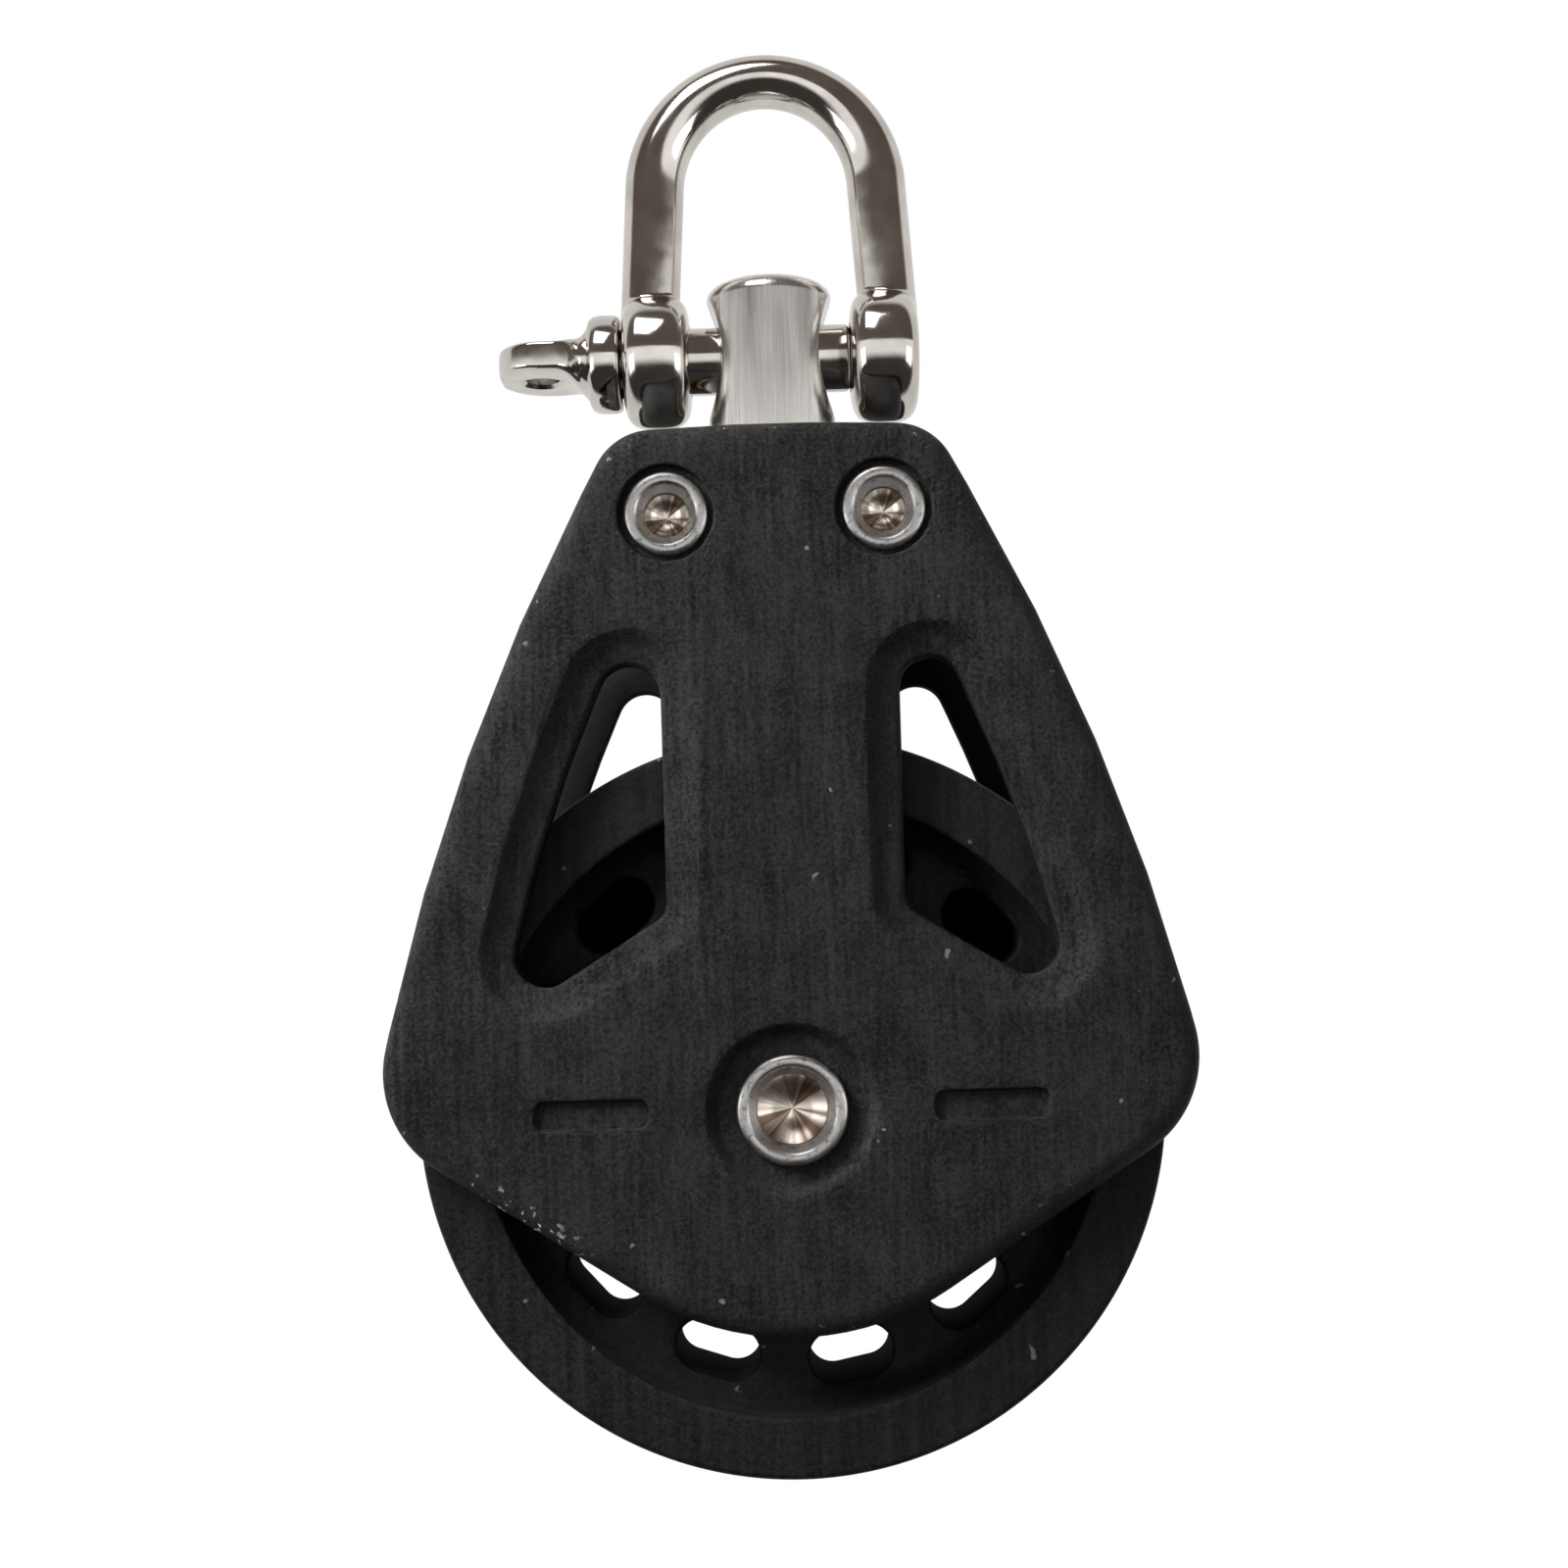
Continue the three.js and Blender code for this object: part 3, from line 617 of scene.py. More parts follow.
def drilled_steel():
    """The drill point at the foot of a rivet's bore, finely turned, with painted highlights: bright and
    brown sectors round its axis, painted into the colour, stand in for the light and dark reflections of
    the turning marks.
    """
    n = Nodes("drilled_cone")
    centred = n.add("ShaderNodeVectorMath", operation="SUBTRACT")
    centred.inputs[1].default_value = (0.5, 0.5, 0.5)
    n.link(n.generated, centred.inputs[0])
    flat = n.add("ShaderNodeVectorMath", operation="MULTIPLY")
    flat.inputs[1].default_value = (1, 0, 1)
    n.link(centred.outputs["Vector"], flat.inputs[0])
    spoke = n.add("ShaderNodeVectorMath", operation="NORMALIZE")
    n.link(flat.outputs["Vector"], spoke.inputs[0])
    painted_highlight_sectors = n.add("ShaderNodeTexNoise")
    painted_highlight_sectors.inputs["Scale"].default_value = 1.9
    painted_highlight_sectors.inputs["Detail"].default_value = 3
    n.link(spoke.outputs["Vector"], painted_highlight_sectors.inputs["Vector"])
    # Painted highlights and reflections: these sectors make the colour bright or brown round the axis.
    share = n.remap(painted_highlight_sectors.outputs["Fac"], 0.43, 0.56)
    colour = n.mix(share, (0.2, 0.13, 0.09), (0.92, 0.85, 0.76))
    tangent = n.add("ShaderNodeTangent", direction_type="RADIAL", axis="Y")
    n.link(tangent.outputs["Tangent"], n.shader.inputs["Tangent"])
    n.shader.inputs["Anisotropic"].default_value = 0.8
    return n.finish(colour, n.remap(share, 0, 1, 0.34, 0.24), metallic=1.0)


def bearing_bronze():
    n = Nodes("bearing_bronze")
    lines = n.noise(2600, 2, stretch=(1, 1, 4))
    colour = n.mix(n.remap(lines, 0.35, 0.65), (0.42, 0.27, 0.12), (0.6, 0.43, 0.22))
    return n.finish(colour, n.remap(lines, 0.3, 0.7, 0.3, 0.42), n.bump(lines, 0.00003, 0.3), 1.0)


def white_acetal():
    n = Nodes("white_acetal")
    cloud = n.noise(900, 2)
    colour = n.mix(n.remap(cloud, 0.35, 0.65), (0.76, 0.75, 0.71), (0.86, 0.855, 0.83))
    return n.finish(colour, n.remap(cloud, 0.3, 0.7, 0.22, 0.32), n.bump(cloud, 0.00003, 0.15))


CHEEK_BLACK = black_cheek()
SHEAVE_BLACK = black_sheave()
SLOT_BLACK_SHADED = matt_black_painted_shade()
COMPOSITE = black_composite()
POLISHED = polished_steel()
BRUSHED = brushed_steel()
RIVET = rivet_steel()
DRILLED = drilled_steel()
BRONZE = bearing_bronze()
ACETAL = white_acetal()


# ---------------------------------------------------------------- cheeks

def cheek(name, side):
    """One pressed plate: rounded rim, dished windows, axle dimple, rivet seats and blank recesses."""
    shell = Shell()
    outer, inner = CHEEK_OUTER, CHEEK_INNER

    def rings(steps, shape, dull_shaded=()):
        """Bands through the steps, each (growth, height, wear), and then through the dull_shaded ones,
        which are matt and take painted shade.
        """
        made = []
        for grow, y, wear in (*steps, *dull_shaded):
            made.append(shell.ring([(x, side * y, z) for x, z in shape(grow)], wear))
        split = len(steps)
        shell.bands(made[:split + 1])
        shell.bands(made[split:], 1)
        return made[0], made[-1]

    corners = [CHEEK_FOOT, *CHEEK_HALF, CHEEK_HEAD, *mirrored(CHEEK_HALF)]
    dished = outer - PRESSED_DEPTH
    behind = inner - PRESSED_DEPTH

    def whole(grow):
        return outline(grown(corners, grow), 4)

    rim_width, rim_drop = 1.7, 1.15
    rim = [(-2.2, outer, 0), (-rim_width, outer, 0)]
    for k in range(1, 10):
        angle = radians(10 * k)
        inset = rim_width * (1 - sin(angle))
        rim.append((-inset, outer - rim_drop * (1 - cos(angle)), 1.0 if k > 3 else 0.3))
    rim += [(0, inner + 0.4, 0.2), (-0.05, inner + 0.2, 0), (-0.2, inner + 0.05, 0)]
    rim += [(-0.4, inner, 0), (-1, inner, 0)]
    face_loops, back_loops = [], []

    def opening(steps, shape, dull_shaded=()):
        face, back = rings(steps, shape, dull_shaded)
        face_loops.append(face)
        back_loops.append(back)

    opening(rim, whole)
    window = [
        (3.2, outer, 0), (2.66, outer, 0), (2.56, outer - 0.04, 0), (2.4, outer - 0.14, 0),
        (1.75, outer - 0.52, 0), (1.35, outer - 0.68, 0), (0.9, dished, 0), (0.42, dished - 0.06, 0),
        (0.2, dished - 0.13, 0.4), (0.06, dished - 0.26, 0.8),
    ]
    window_wall = [
        (0, dished - 0.42, 0.4), (0, behind + 0.25, 0), (0.07, behind + 0.07, 0), (0.25, behind, 0),
        (1.6, behind, 0), (2.3, behind + 0.12, 0), (2.9, inner - 0.1, 0), (3.1, inner, 0), (3.6, inner, 0),
    ]
    shape = WINDOW if side < 0 else REAR_WINDOW
    for hole in (shape, mirrored(shape)):
        opening(window, lambda grow, hole=hole: outline(grown(hole, grow), 6), window_wall)
    dimple = [
        (7.2, outer, 0), (6.65, outer, 0), (6.5, outer - 0.04, 0), (6.35, outer - 0.14, 0),
        (5.9, outer - 0.6, 0), (5.7, outer - 0.74, 0), (5.45, dished, 0), (3.95, dished, 0),
        (AXLE_HOLE, dished - 0.12, 0),
    ]
    dimple_wall = [
        (AXLE_HOLE, behind + 0.1, 0), (3.9, behind, 0), (5.9, behind, 0), (6.5, behind + 0.2, 0),
        (7, inner - 0.05, 0), (7.1, inner, 0), (7.4, inner, 0),
    ]
    opening(dimple, circle, dimple_wall)
    seat = [
        (3.9, outer, 0), (3.78, outer, 0), (3.66, outer - 0.05, 0.3), (3.6, outer - 0.16, 0.2),
        (3.6, outer - 0.5, 0), (3.5, outer - 0.6, 0), (2.9, outer - 0.6, 0),
        (RIVET_HOLE, outer - 0.7, 0),
    ]
    seat_wall = [(RIVET_HOLE, inner + 0.1, 0), (2.9, inner, 0), (3.3, inner, 0)]
    for way in (-1, 1):
        opening(seat, lambda radius, way=way: circle(radius, 72, (way * RIVET_X, RIVET_Z)), seat_wall)
    badge = [(0.4, outer, 0), (0.2, outer, 0), (0.09, outer - 0.06, 0), (0, outer - 0.34, 0)]
    badge += [(-0.1, outer - 0.48, 0), (-0.3, outer - 0.5, 0)]
    for way in (-1, 1):
        shape = box_corners(way * BADGE_X, 0, BADGE_LENGTH, BADGE_HEIGHT, 0.75)
        face, floor = rings(badge, lambda grow, shape=shape: outline(grown(shape, grow), 9))
        face_loops.append(face)
        shell.face(floor)
    shell.fill(face_loops)
    shell.fill(back_loops, kind=1)
    # The second material, on the walls of the openings and the inner face, is the matt black with painted
    # shade.
    piece = shell.build(name + "_pressed", [CHEEK_BLACK, SLOT_BLACK_SHADED], 40)
    place(piece, "block_frame", name)


def head_block():
    """The spacer between the cheeks, with the swivel's bore and nut pocket cut into it."""
    corners = [*HEAD_BLOCK_HALF, *mirrored(HEAD_BLOCK_HALF)]
    shell = Shell()
    edge = 0.35
    steps = [(-edge, -CHEEK_INNER), (-0.1, -CHEEK_INNER + 0.1), (0, -CHEEK_INNER + edge)]
    steps += [(0, CHEEK_INNER - edge), (-0.1, CHEEK_INNER - 0.1), (-edge, CHEEK_INNER)]
    made = []
    for grow, y in steps:
        made.append(shell.ring([(x, y, z) for x, z in outline(grown(corners, grow), 5)]))
    shell.bands(made)
    shell.face(made[0])
    shell.face(made[-1])
    piece = shell.build("head_block_body", [COMPOSITE], 30)
    bore = [(0, 30), (6.8, 30), (6.8, 36.6), (6.5, 36.9), (6.5, 41.4), (4.7, 41.4), (4.7, 50.1)]
    bore += [(5.5, 50.1), (5.5, HEAD_TOP - 0.25), (5.9, HEAD_TOP + 0.2), (5.9, 60), (0, 60)]
    tools = [cutter(bore, "z", (0, 0, 0), COMPOSITE)]
    for way in (-1, 1):
        tools.append(drill(RIVET_HOLE, "y", (way * RIVET_X, 0, RIVET_Z), COMPOSITE, 64))
    cut(piece, tools, 30)
    place(piece, "block_frame", "head_block")


def rivet(name, x, z, head, shank, bore, seat):
    """A rod drilled at both ends, with each rim rolled over on to its cheek."""
    top = RIVET_HEAD_Y
    half = [
        (0, top - 2.3), (bore * 0.985, top - 1.38), (bore, top - 1.32), (bore, top - 0.85),
        (bore + 0.07, top - 0.74), (bore + 0.46, top - 0.32), (bore + 0.54, top - 0.16),
        (bore + 0.6, top - 0.12), (bore + 0.68, top - 0.04), (bore + 0.8, top), (head - 0.42, top),
        (head - 0.2, top - 0.06), (head - 0.06, top - 0.2), (head, top - 0.38),
        (head - 0.03, seat + 0.06), (head - 0.1, seat), (shank, seat),
    ]
    profile = half + [(radius, -along) for radius, along in reversed(half)]
    kinds = [1 if k in (0, len(profile) - 2) else 0 for k in range(len(profile) - 1)]
    shell = Shell()
    shell.turn(profile, "y", (x, 0, z), 96, kinds=kinds)
    piece = shell.build(name + "_turned", [RIVET, DRILLED], 50)
    place(piece, "block_frame", name)


# ---------------------------------------------------------------- sheave and bearing

def web_height(radius):
    """Half the web's thickness at a radius: flat, then a hollow that climbs to the flange."""
    if radius <= WEB_OUTER_RADIUS:
        return WEB_HALF_THICKNESS
    across = (radius - WEB_OUTER_RADIUS) / (FLANGE_INNER_RADIUS - WEB_OUTER_RADIUS)
    rise = SHEAVE_HALF_WIDTH - WEB_HALF_THICKNESS
    return WEB_HALF_THICKNESS + rise * (1 - sqrt(max(0, 1 - across * across)))


def slot_outline(index, grow):
    angle = SLOT_PHASE + tau * index / SLOT_COUNT
    half = (SLOT_LENGTH - SLOT_WIDTH) / 2
    radius = SLOT_WIDTH / 2 + grow
    points = []
    for k in range(48):
        turn = tau * (k + 0.5) / 48
        u = radius * cos(turn) + copysign(half, cos(turn))
        v = radius * sin(turn)
        c, s = cos(angle), sin(angle)
        points.append(((SLOT_CENTRE_RADIUS + v) * c - u * s, (SLOT_CENTRE_RADIUS + v) * s + u * c))
    return points


def near_slot(x, z, margin):
    for index in range(SLOT_COUNT):
        angle = SLOT_PHASE + tau * index / SLOT_COUNT
        along = -x * sin(angle) + z * cos(angle)
        out = x * cos(angle) + z * sin(angle) - SLOT_CENTRE_RADIUS
        half = (SLOT_LENGTH - SLOT_WIDTH) / 2
        gap = hypot(max(0, abs(along) - half), out)
        if gap < SLOT_WIDTH / 2 + margin:
            return True
    return False


def sheave():
    shell = Shell()
    slot_rims = {}
    loops = {}
    for side in (-1, 1):
        def at(points, drop=0.0, wear=0.0, side=side):
            heights = [side * (web_height(hypot(x, z)) - drop) for x, z in points]
            return shell.ring([(x, y, z) for (x, z), y in zip(points, heights)], wear)

        inner = at(circle(WEB_INNER_RADIUS, SHEAVE_SEGMENTS))
        outer = at(circle(WEB_EDGE_RADIUS, SHEAVE_SEGMENTS))
        holes = []
        for index in range(SLOT_COUNT):
            rings = []
            for degrees in (0, 22, 45, 67, 90):
                t = radians(degrees)
                grow, drop = EDGE_ROUNDING * (1 - sin(t)), EDGE_ROUNDING * (1 - cos(t))
                rings.append(at(slot_outline(index, grow), drop, 0.5))
            shell.bands(rings[:3])
            shell.bands(rings[2:], 1)
            holes.append(rings[0])
            slot_rims[side, index] = rings[-1]
        filler = []
        for row in range(13):
            radius = WEB_INNER_RADIUS + 0.45 + 0.47 * row
            for x, z in circle(radius, SHEAVE_SEGMENTS // 2):
                if radius < WEB_EDGE_RADIUS - 0.2 and not near_slot(x, z, 0.6):
                    filler.append((x, z))
        shell.fill([outer, inner, *holes], at(filler))
        loops[side] = (inner, outer)
    for index in range(SLOT_COUNT):
        shell.band(slot_rims[-1, index], slot_rims[1, index], 1)

    def lathe(profile, first, last):
        """Turned surface from the ring first to the ring last, through the profile."""
        rings = [first]
        for radius, along, wear in profile:
            rings.append(shell.turned("y", radius, along, segments=SHEAVE_SEGMENTS, wear=wear))
        shell.bands(rings + [last])

    boss = outline([
        (WEB_INNER_RADIUS, WEB_HALF_THICKNESS, 0), (BOSS_RADIUS, 5.6, 0.6),
        (BOSS_RADIUS - 0.1, BOSS_HALF_WIDTH, 0.4), (RACE_RADIUS, BOSS_HALF_WIDTH, 0.3), (RACE_RADIUS, 0, 0),
    ], 15, closed=False)[1:]
    inside_profile = [(r, y, 0) for r, y in boss] + [(r, -y, 0) for r, y in reversed(boss[:-1])]
    lathe(inside_profile, loops[1][0], loops[-1][0])

    flange, width = FLANGE_INNER_RADIUS, SHEAVE_HALF_WIDTH
    rim = [(radius, web_height(radius), 0) for radius in (flange - 0.25, flange - 0.1, flange - 0.02)]
    rim += [(flange, width - 0.35, 0.2), (flange + 0.06, width - 0.1, 0.6), (flange + 0.2, width, 0.3)]
    rim += [(flange + 0.5, width, 0), (SHEAVE_RADIUS - 0.9, width, 0), (SHEAVE_RADIUS - 0.5, width, 0.3)]
    for degrees in (18, 36, 54, 72, 90, 110, 135):
        t = radians(degrees)
        across, down = EDGE_ROUNDING * (1 - sin(t)), EDGE_ROUNDING * (1 - cos(t))
        rim.append((SHEAVE_RADIUS - across, width - down, 1.0))
    centre = GROOVE_ROOT + GROOVE_ARC
    for degrees in range(76, 0, -4):
        t = radians(degrees)
        rim.append((centre - GROOVE_ARC * cos(t), GROOVE_ARC * sin(t), 0))
    rim += [(GROOVE_ROOT, 0, 0)] + [(r, -y, wear) for r, y, wear in reversed(rim)]
    lathe(rim, loops[1][1], loops[-1][1])
    # The second material, on the slots' walls and inner rounding, is the matt black with painted shade.
    piece = shell.build("sheave_wheel_turned", [SHEAVE_BLACK, SLOT_BLACK_SHADED], 40)
    place(piece, "sheave_wheel", "sheave")


def turned_ring(name, node, body, material, corners, axis="y"):
    """A ring turned from the rounded corners (radius, distance along the axis, rounding)."""
    shell = Shell()
    shell.turn(outline(corners, 30), axis, segments=128, closed=True)
    place(shell.build(name, [material], 40), body, node)


def plain(inner, outer, low, high):
    """Corners of a plain ring."""
    edge = 0.12
    return [(inner, low, edge), (outer, low, edge), (outer, high, edge), (inner, high, edge)]


def ball(node):
    shell = Shell()
    rows = 16
    arc = [pi * k / rows for k in range(rows + 1)]
    profile = [(BALL_RADIUS * sin(t), -BALL_RADIUS * cos(t)) for t in arc]
    shell.turn(profile, "y", (middle(node) - AXLE) / MM, 28)
    place(shell.build(node + "_round", [ACETAL], 60), "ball_set", node)


def balls():
    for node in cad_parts:
        if "_ball_0" in node or "_ball_1" in node:
            ball(node)


# ---------------------------------------------------------------- swivel

def post_radius(angle, height, radius):
    """The post's radius round its axis: a circle, pinched flat on its two sides by the hollows."""
    reach = abs(height - PIN_Z)
    if reach >= POST_HOLLOW:
        return radius
    half = POST_WAIST + POST_HOLLOW - sqrt(POST_HOLLOW ** 2 - reach ** 2)
    side = abs(cos(angle))
    if side < 1e-6 or half / side > radius + 0.6:
        return radius
    return -joined(-radius, -half / side, HOLLOW_BLEND)


def swivel_post():
    shell = Shell()
    segments = 360
    foot = span("swivel_post")[0].z
    dome = [(2.7, POST_TOP), (3.5, POST_TOP - 0.06), (4.1, POST_TOP - 0.2), (4.55, POST_TOP - 0.42)]
    dome += [(4.85, POST_TOP - 0.72), (5.0, POST_TOP - 1.1)]
    profile = [(1.5, foot), (2.3, foot), (2.6, foot + 0.3), (2.7, foot + 0.5), (2.7, 41.1), (2.75, 41.2)]
    profile += [(3.2, 41.2), (3.3, 41.3), (3.3, 51.4), (3.4, 51.5), (4.85, 51.5), (5.0, 51.6)]
    profile.append((POST_RADIUS, POST_FOOT_Z - 0.2))
    steps = 92
    for k in range(steps + 1):
        profile.append((POST_RADIUS, POST_FOOT_Z + (POST_TOP - 1.3 - POST_FOOT_Z) * k / steps))
    profile += list(reversed(dome)) + [(1.4, POST_TOP)]
    rings = [shell.ring([(0, 0, foot)])]
    for radius, z in profile:
        points = []
        for angle in angles(segments):
            r = post_radius(angle, z, radius)
            points.append((r * cos(angle), r * sin(angle), z))
        rings.append(shell.ring(points))
    rings.append(shell.ring([(0, 0, POST_TOP)]))
    shell.bands(rings)
    piece = shell.build("swivel_post_turned", [BRUSHED], 50)
    bore_for_pin(piece, BRUSHED)
    place(piece, "post", "swivel_post")


def swivel_bush():
    corners = [(BUSH_BORE, BUSH_FOOT_Z, 0.1), (BUSH_RADIUS, BUSH_FOOT_Z, 0.1)]
    corners += [(BUSH_RADIUS, BUSH_SHOULDER_Z, 0.1), (BUSH_FLANGE_RADIUS, BUSH_SHOULDER_Z, 0.1)]
    corners += [(BUSH_FLANGE_RADIUS, HEAD_TOP, 0.15), (BUSH_BORE, HEAD_TOP, 0.15)]
    turned_ring("swivel_bush_turned", "swivel_bush", "block_frame", BRONZE, corners, "z")


def swivel_nut():
    """A hexagon with both faces chamfered round, and its plain bore."""
    low, high = [corner.z for corner in span("swivel_nut")]
    shell = Shell()
    segments = 180

    def loop(z, limit):
        points = []
        for turn in angles(segments):
            angle = turn + pi / 6
            part = (angle + pi / 6) % (pi / 3) - pi / 6
            r = min(NUT_HALF_FLAT / cos(part), limit)
            points.append((r * cos(angle), r * sin(angle), z))
        return shell.ring(points)

    steps = [(low, NUT_HALF_FLAT - 0.1), (low + 0.25, NUT_HALF_FLAT + 0.4), (low + 0.45, NUT_HALF_CORNER)]
    steps += [(high + low - z, limit) for z, limit in reversed(steps)]
    rings = [loop(z, limit) for z, limit in steps]
    for radius, z in ((3.3, high), (NUT_THREAD, high - 0.3), (NUT_THREAD, low + 0.3), (3.3, low)):
        rings.append(shell.turned("z", radius, z, segments=segments))
    shell.bands(rings + [rings[0]])
    place(shell.build("swivel_nut_cut", [BRUSHED], 25), "post", "swivel_nut")


# ---------------------------------------------------------------- shackle

def superellipse(half_u, half_v, power, count):
    points = []
    for t in angles(count):
        c, s = cos(t), sin(t)
        u = copysign(abs(c) ** (2 / power), c) * half_u
        v = copysign(abs(s) ** (2 / power), s) * half_v
        points.append((u, v))
    return points


def lug_reach(angle, height, offset):
    """How far a lug's surface lies from a point beside its middle, in plan, at a height over the pin."""
    c, s = cos(angle), sin(angle)

    def outside(reach):
        x, y = offset + reach * c, reach * s
        along = abs(x / LUG_HALF_WIDTH) ** LUG_CROWNING
        return along + (hypot(y, height) / LUG_RADIUS) ** LUG_ROUNDING > 1

    if outside(0):
        return 0.0
    low, high = 0.0, 2 * LUG_RADIUS
    for _ in range(26):
        between = (low + high) / 2
        if outside(between):
            high = between
        else:
            low = between
    return low


def joined(a, b, blend):
    """The larger of two reaches, with a fillet where they are alike."""
    share = max(0.0, min(1.0, 0.5 + (a - b) / (2 * blend)))
    return b * (1 - share) + a * share + blend * share * (1 - share)


def leg_x(z):
    start = BOW_CENTRE_Z + BOW_RADIUS * sin(BOW_SPREAD)
    return BOW_RADIUS * cos(BOW_SPREAD) + (start - z) * tan(BOW_SPREAD)


def bow_sections(count):
    """Rings up the right half of the bow: round the lug, up the leg and over to the crown."""
    sections = []
    lug_steps, neck_steps, leg_steps, crown_steps = 26, 46, 24, 64
    heights = [-LUG_RADIUS * cos(pi / 2 * k / lug_steps) for k in range(1, lug_steps)]
    shoulder = 6.2
    heights += [shoulder * k / neck_steps for k in range(neck_steps + 1)]
    for height in heights:
        z = PIN_Z + height
        offset = (leg_x(z) - LUG_X) * smooth_step(-1, 2, height)
        grow = smooth_step(0.4, 3.8, height)
        ring = []
        for t in angles(count):
            leg = grow / hypot(cos(t) / LEG_HALF_WIDTH, sin(t) / BOW_HALF_DEPTH)
            reach = joined(lug_reach(t, height, offset), leg, 0.4)
            ring.append((LUG_X + offset + reach * cos(t), reach * sin(t), z))
        sections.append(ring)

    def section(x, z, lean, half_in):
        ring = []
        for t in angles(count):
            u = half_in * cos(t)
            ring.append((x + u * cos(lean), BOW_HALF_DEPTH * sin(t), z - u * sin(lean)))
        sections.append(ring)

    foot = PIN_Z + shoulder
    top = BOW_CENTRE_Z + BOW_RADIUS * sin(BOW_SPREAD)
    for k in range(1, leg_steps + 1):
        z = foot + (top - foot) * k / leg_steps
        section(leg_x(z), z, -BOW_SPREAD * min(1, k / 8), LEG_HALF_WIDTH)
    for t in shares(crown_steps):
        angle = BOW_SPREAD + (pi / 2 - BOW_SPREAD) * t
        x, z = BOW_RADIUS * cos(angle), BOW_CENTRE_Z + BOW_RADIUS * sin(angle)
        thin = smooth_step(BOW_SPREAD, pi / 2, angle)
        section(x, z, -angle, LEG_HALF_WIDTH * (1 - thin) + CROWN_HALF_WIDTH * thin)
    return sections


def shackle_bow():
    """One forged bar: barrel lugs that neck into the legs and round the crown."""
    shell = Shell()
    sections = bow_sections(96)
    foot = PIN_Z - LUG_RADIUS
    rings = [shell.ring([(LUG_X, 0, foot)])]
    rings += [shell.ring(section) for section in sections]
    for section in reversed(sections[:-1]):
        rings.append(shell.ring([(-x, y, z) for x, y, z in section]))
    rings.append(shell.ring([(-LUG_X, 0, foot)]))
    shell.bands(rings)
    piece = shell.build("shackle_bow_forged", [POLISHED], 60)
    bore_for_pin(piece, POLISHED)
    place(piece, "shackle", "shackle_bow")


def shackle_pin():
    """Flat tab, neck, collar, plain shank and a cut thread, in one piece."""
    shell = Shell()
    count = 96
    rings = []

    def section(x, half_up, half_out, power, z):
        loop = superellipse(half_out, half_up, power, count)
        rings.append(shell.ring([(x, u, z + v) for u, v in loop]))

    for t in shares(16):
        x = PIN_LEFT + TAB_ROUNDING * (1 - cos(t * pi / 2))
        plan = TAB_HALF_WIDTH * sin(t * pi / 2) ** 0.9
        section(x, TAB_HALF_THICKNESS * min(1, 0.45 + 2.2 * t), plan, 2 + 8 * t, TAB_Z)
    for t in shares(8):
        x = PIN_LEFT + TAB_ROUNDING + (NECK_START - PIN_LEFT - TAB_ROUNDING) * t
        section(x, TAB_HALF_THICKNESS, TAB_HALF_WIDTH, 10, TAB_Z)
    for t in shares(22):
        x = NECK_START + (COLLAR_OUTER - NECK_START) * t
        half_up = TAB_HALF_THICKNESS + 1.75 * t ** 2.1
        half_out = TAB_HALF_WIDTH - 1.45 * smooth_step(0.0, 1.0, t)
        section(x, half_up, half_out, 10 - 8 * smooth_step(0, 0.8, t), TAB_Z + (PIN_Z - TAB_Z) * t)

    def round_ring(radius, x):
        rings.append(shell.turned("x", radius, x, (0, 0, PIN_Z), count))

    profile = [
        (3.2, COLLAR_OUTER + 0.05), (3.5, COLLAR_OUTER + 0.2), (3.7, COLLAR_OUTER + 0.5),
        (COLLAR_RADIUS, COLLAR_OUTER + 1.0), (COLLAR_RADIUS, COLLAR_INNER - 0.6),
        (3.72, COLLAR_INNER - 0.25), (3.55, COLLAR_INNER - 0.06), (3.3, COLLAR_INNER),
        (PIN_RADIUS + 0.1, COLLAR_INNER), (PIN_RADIUS, COLLAR_INNER + 0.1),
        (PIN_RADIUS, THREAD_X - 0.5), (PIN_RADIUS - 0.15, THREAD_X - 0.3), (THREAD_ROOT, THREAD_X),
    ]
    for radius, x in profile:
        round_ring(radius, x)
    thread_end = PIN_RIGHT - 0.6
    thread_start = THREAD_X + 0.2
    steps = int((thread_end - thread_start) / 0.07)
    for step in range(steps + 1):
        x = thread_start + (thread_end - thread_start) * step / steps
        fade = min(1, step / 8, (steps - step) / 4)
        ring = []
        for k in range(count):
            wave = abs(((x / THREAD_PITCH + k / count) % 1) * 2 - 1)
            radius = THREAD_ROOT + (THREAD_RADIUS - THREAD_ROOT) * smooth_step(0.1, 0.85, wave) * fade
            ring.append(around("x", radius, x, (0, 0, PIN_Z), k, count))
        rings.append(shell.ring(ring))
    for radius, x in [(2.0, PIN_RIGHT - 0.4), (1.6, PIN_RIGHT), (0.8, PIN_RIGHT)]:
        round_ring(radius, x)
    # A superellipse starts on +Y and so does a turned ring, so their points line up.
    shell.bands(rings)
    shell.face(rings[0])
    shell.face(rings[-1])
    piece = shell.build("shackle_pin_forged", [POLISHED], 50)
    wide = TAB_HOLE_RADIUS + 0.3
    edge = TAB_HALF_THICKNESS
    hole = [(0, -9), (wide, -9), (wide, -edge), (TAB_HOLE_RADIUS, 0.3 - edge)]
    hole += [(TAB_HOLE_RADIUS, edge - 0.3), (wide, edge), (wide, 9), (0, 9)]
    cut(piece, [cutter(hole, "z", (TAB_HOLE_X, 0, TAB_Z), POLISHED, 64)], 40)
    place(piece, "pin", "shackle_pin")


# ---------------------------------------------------------------- scene

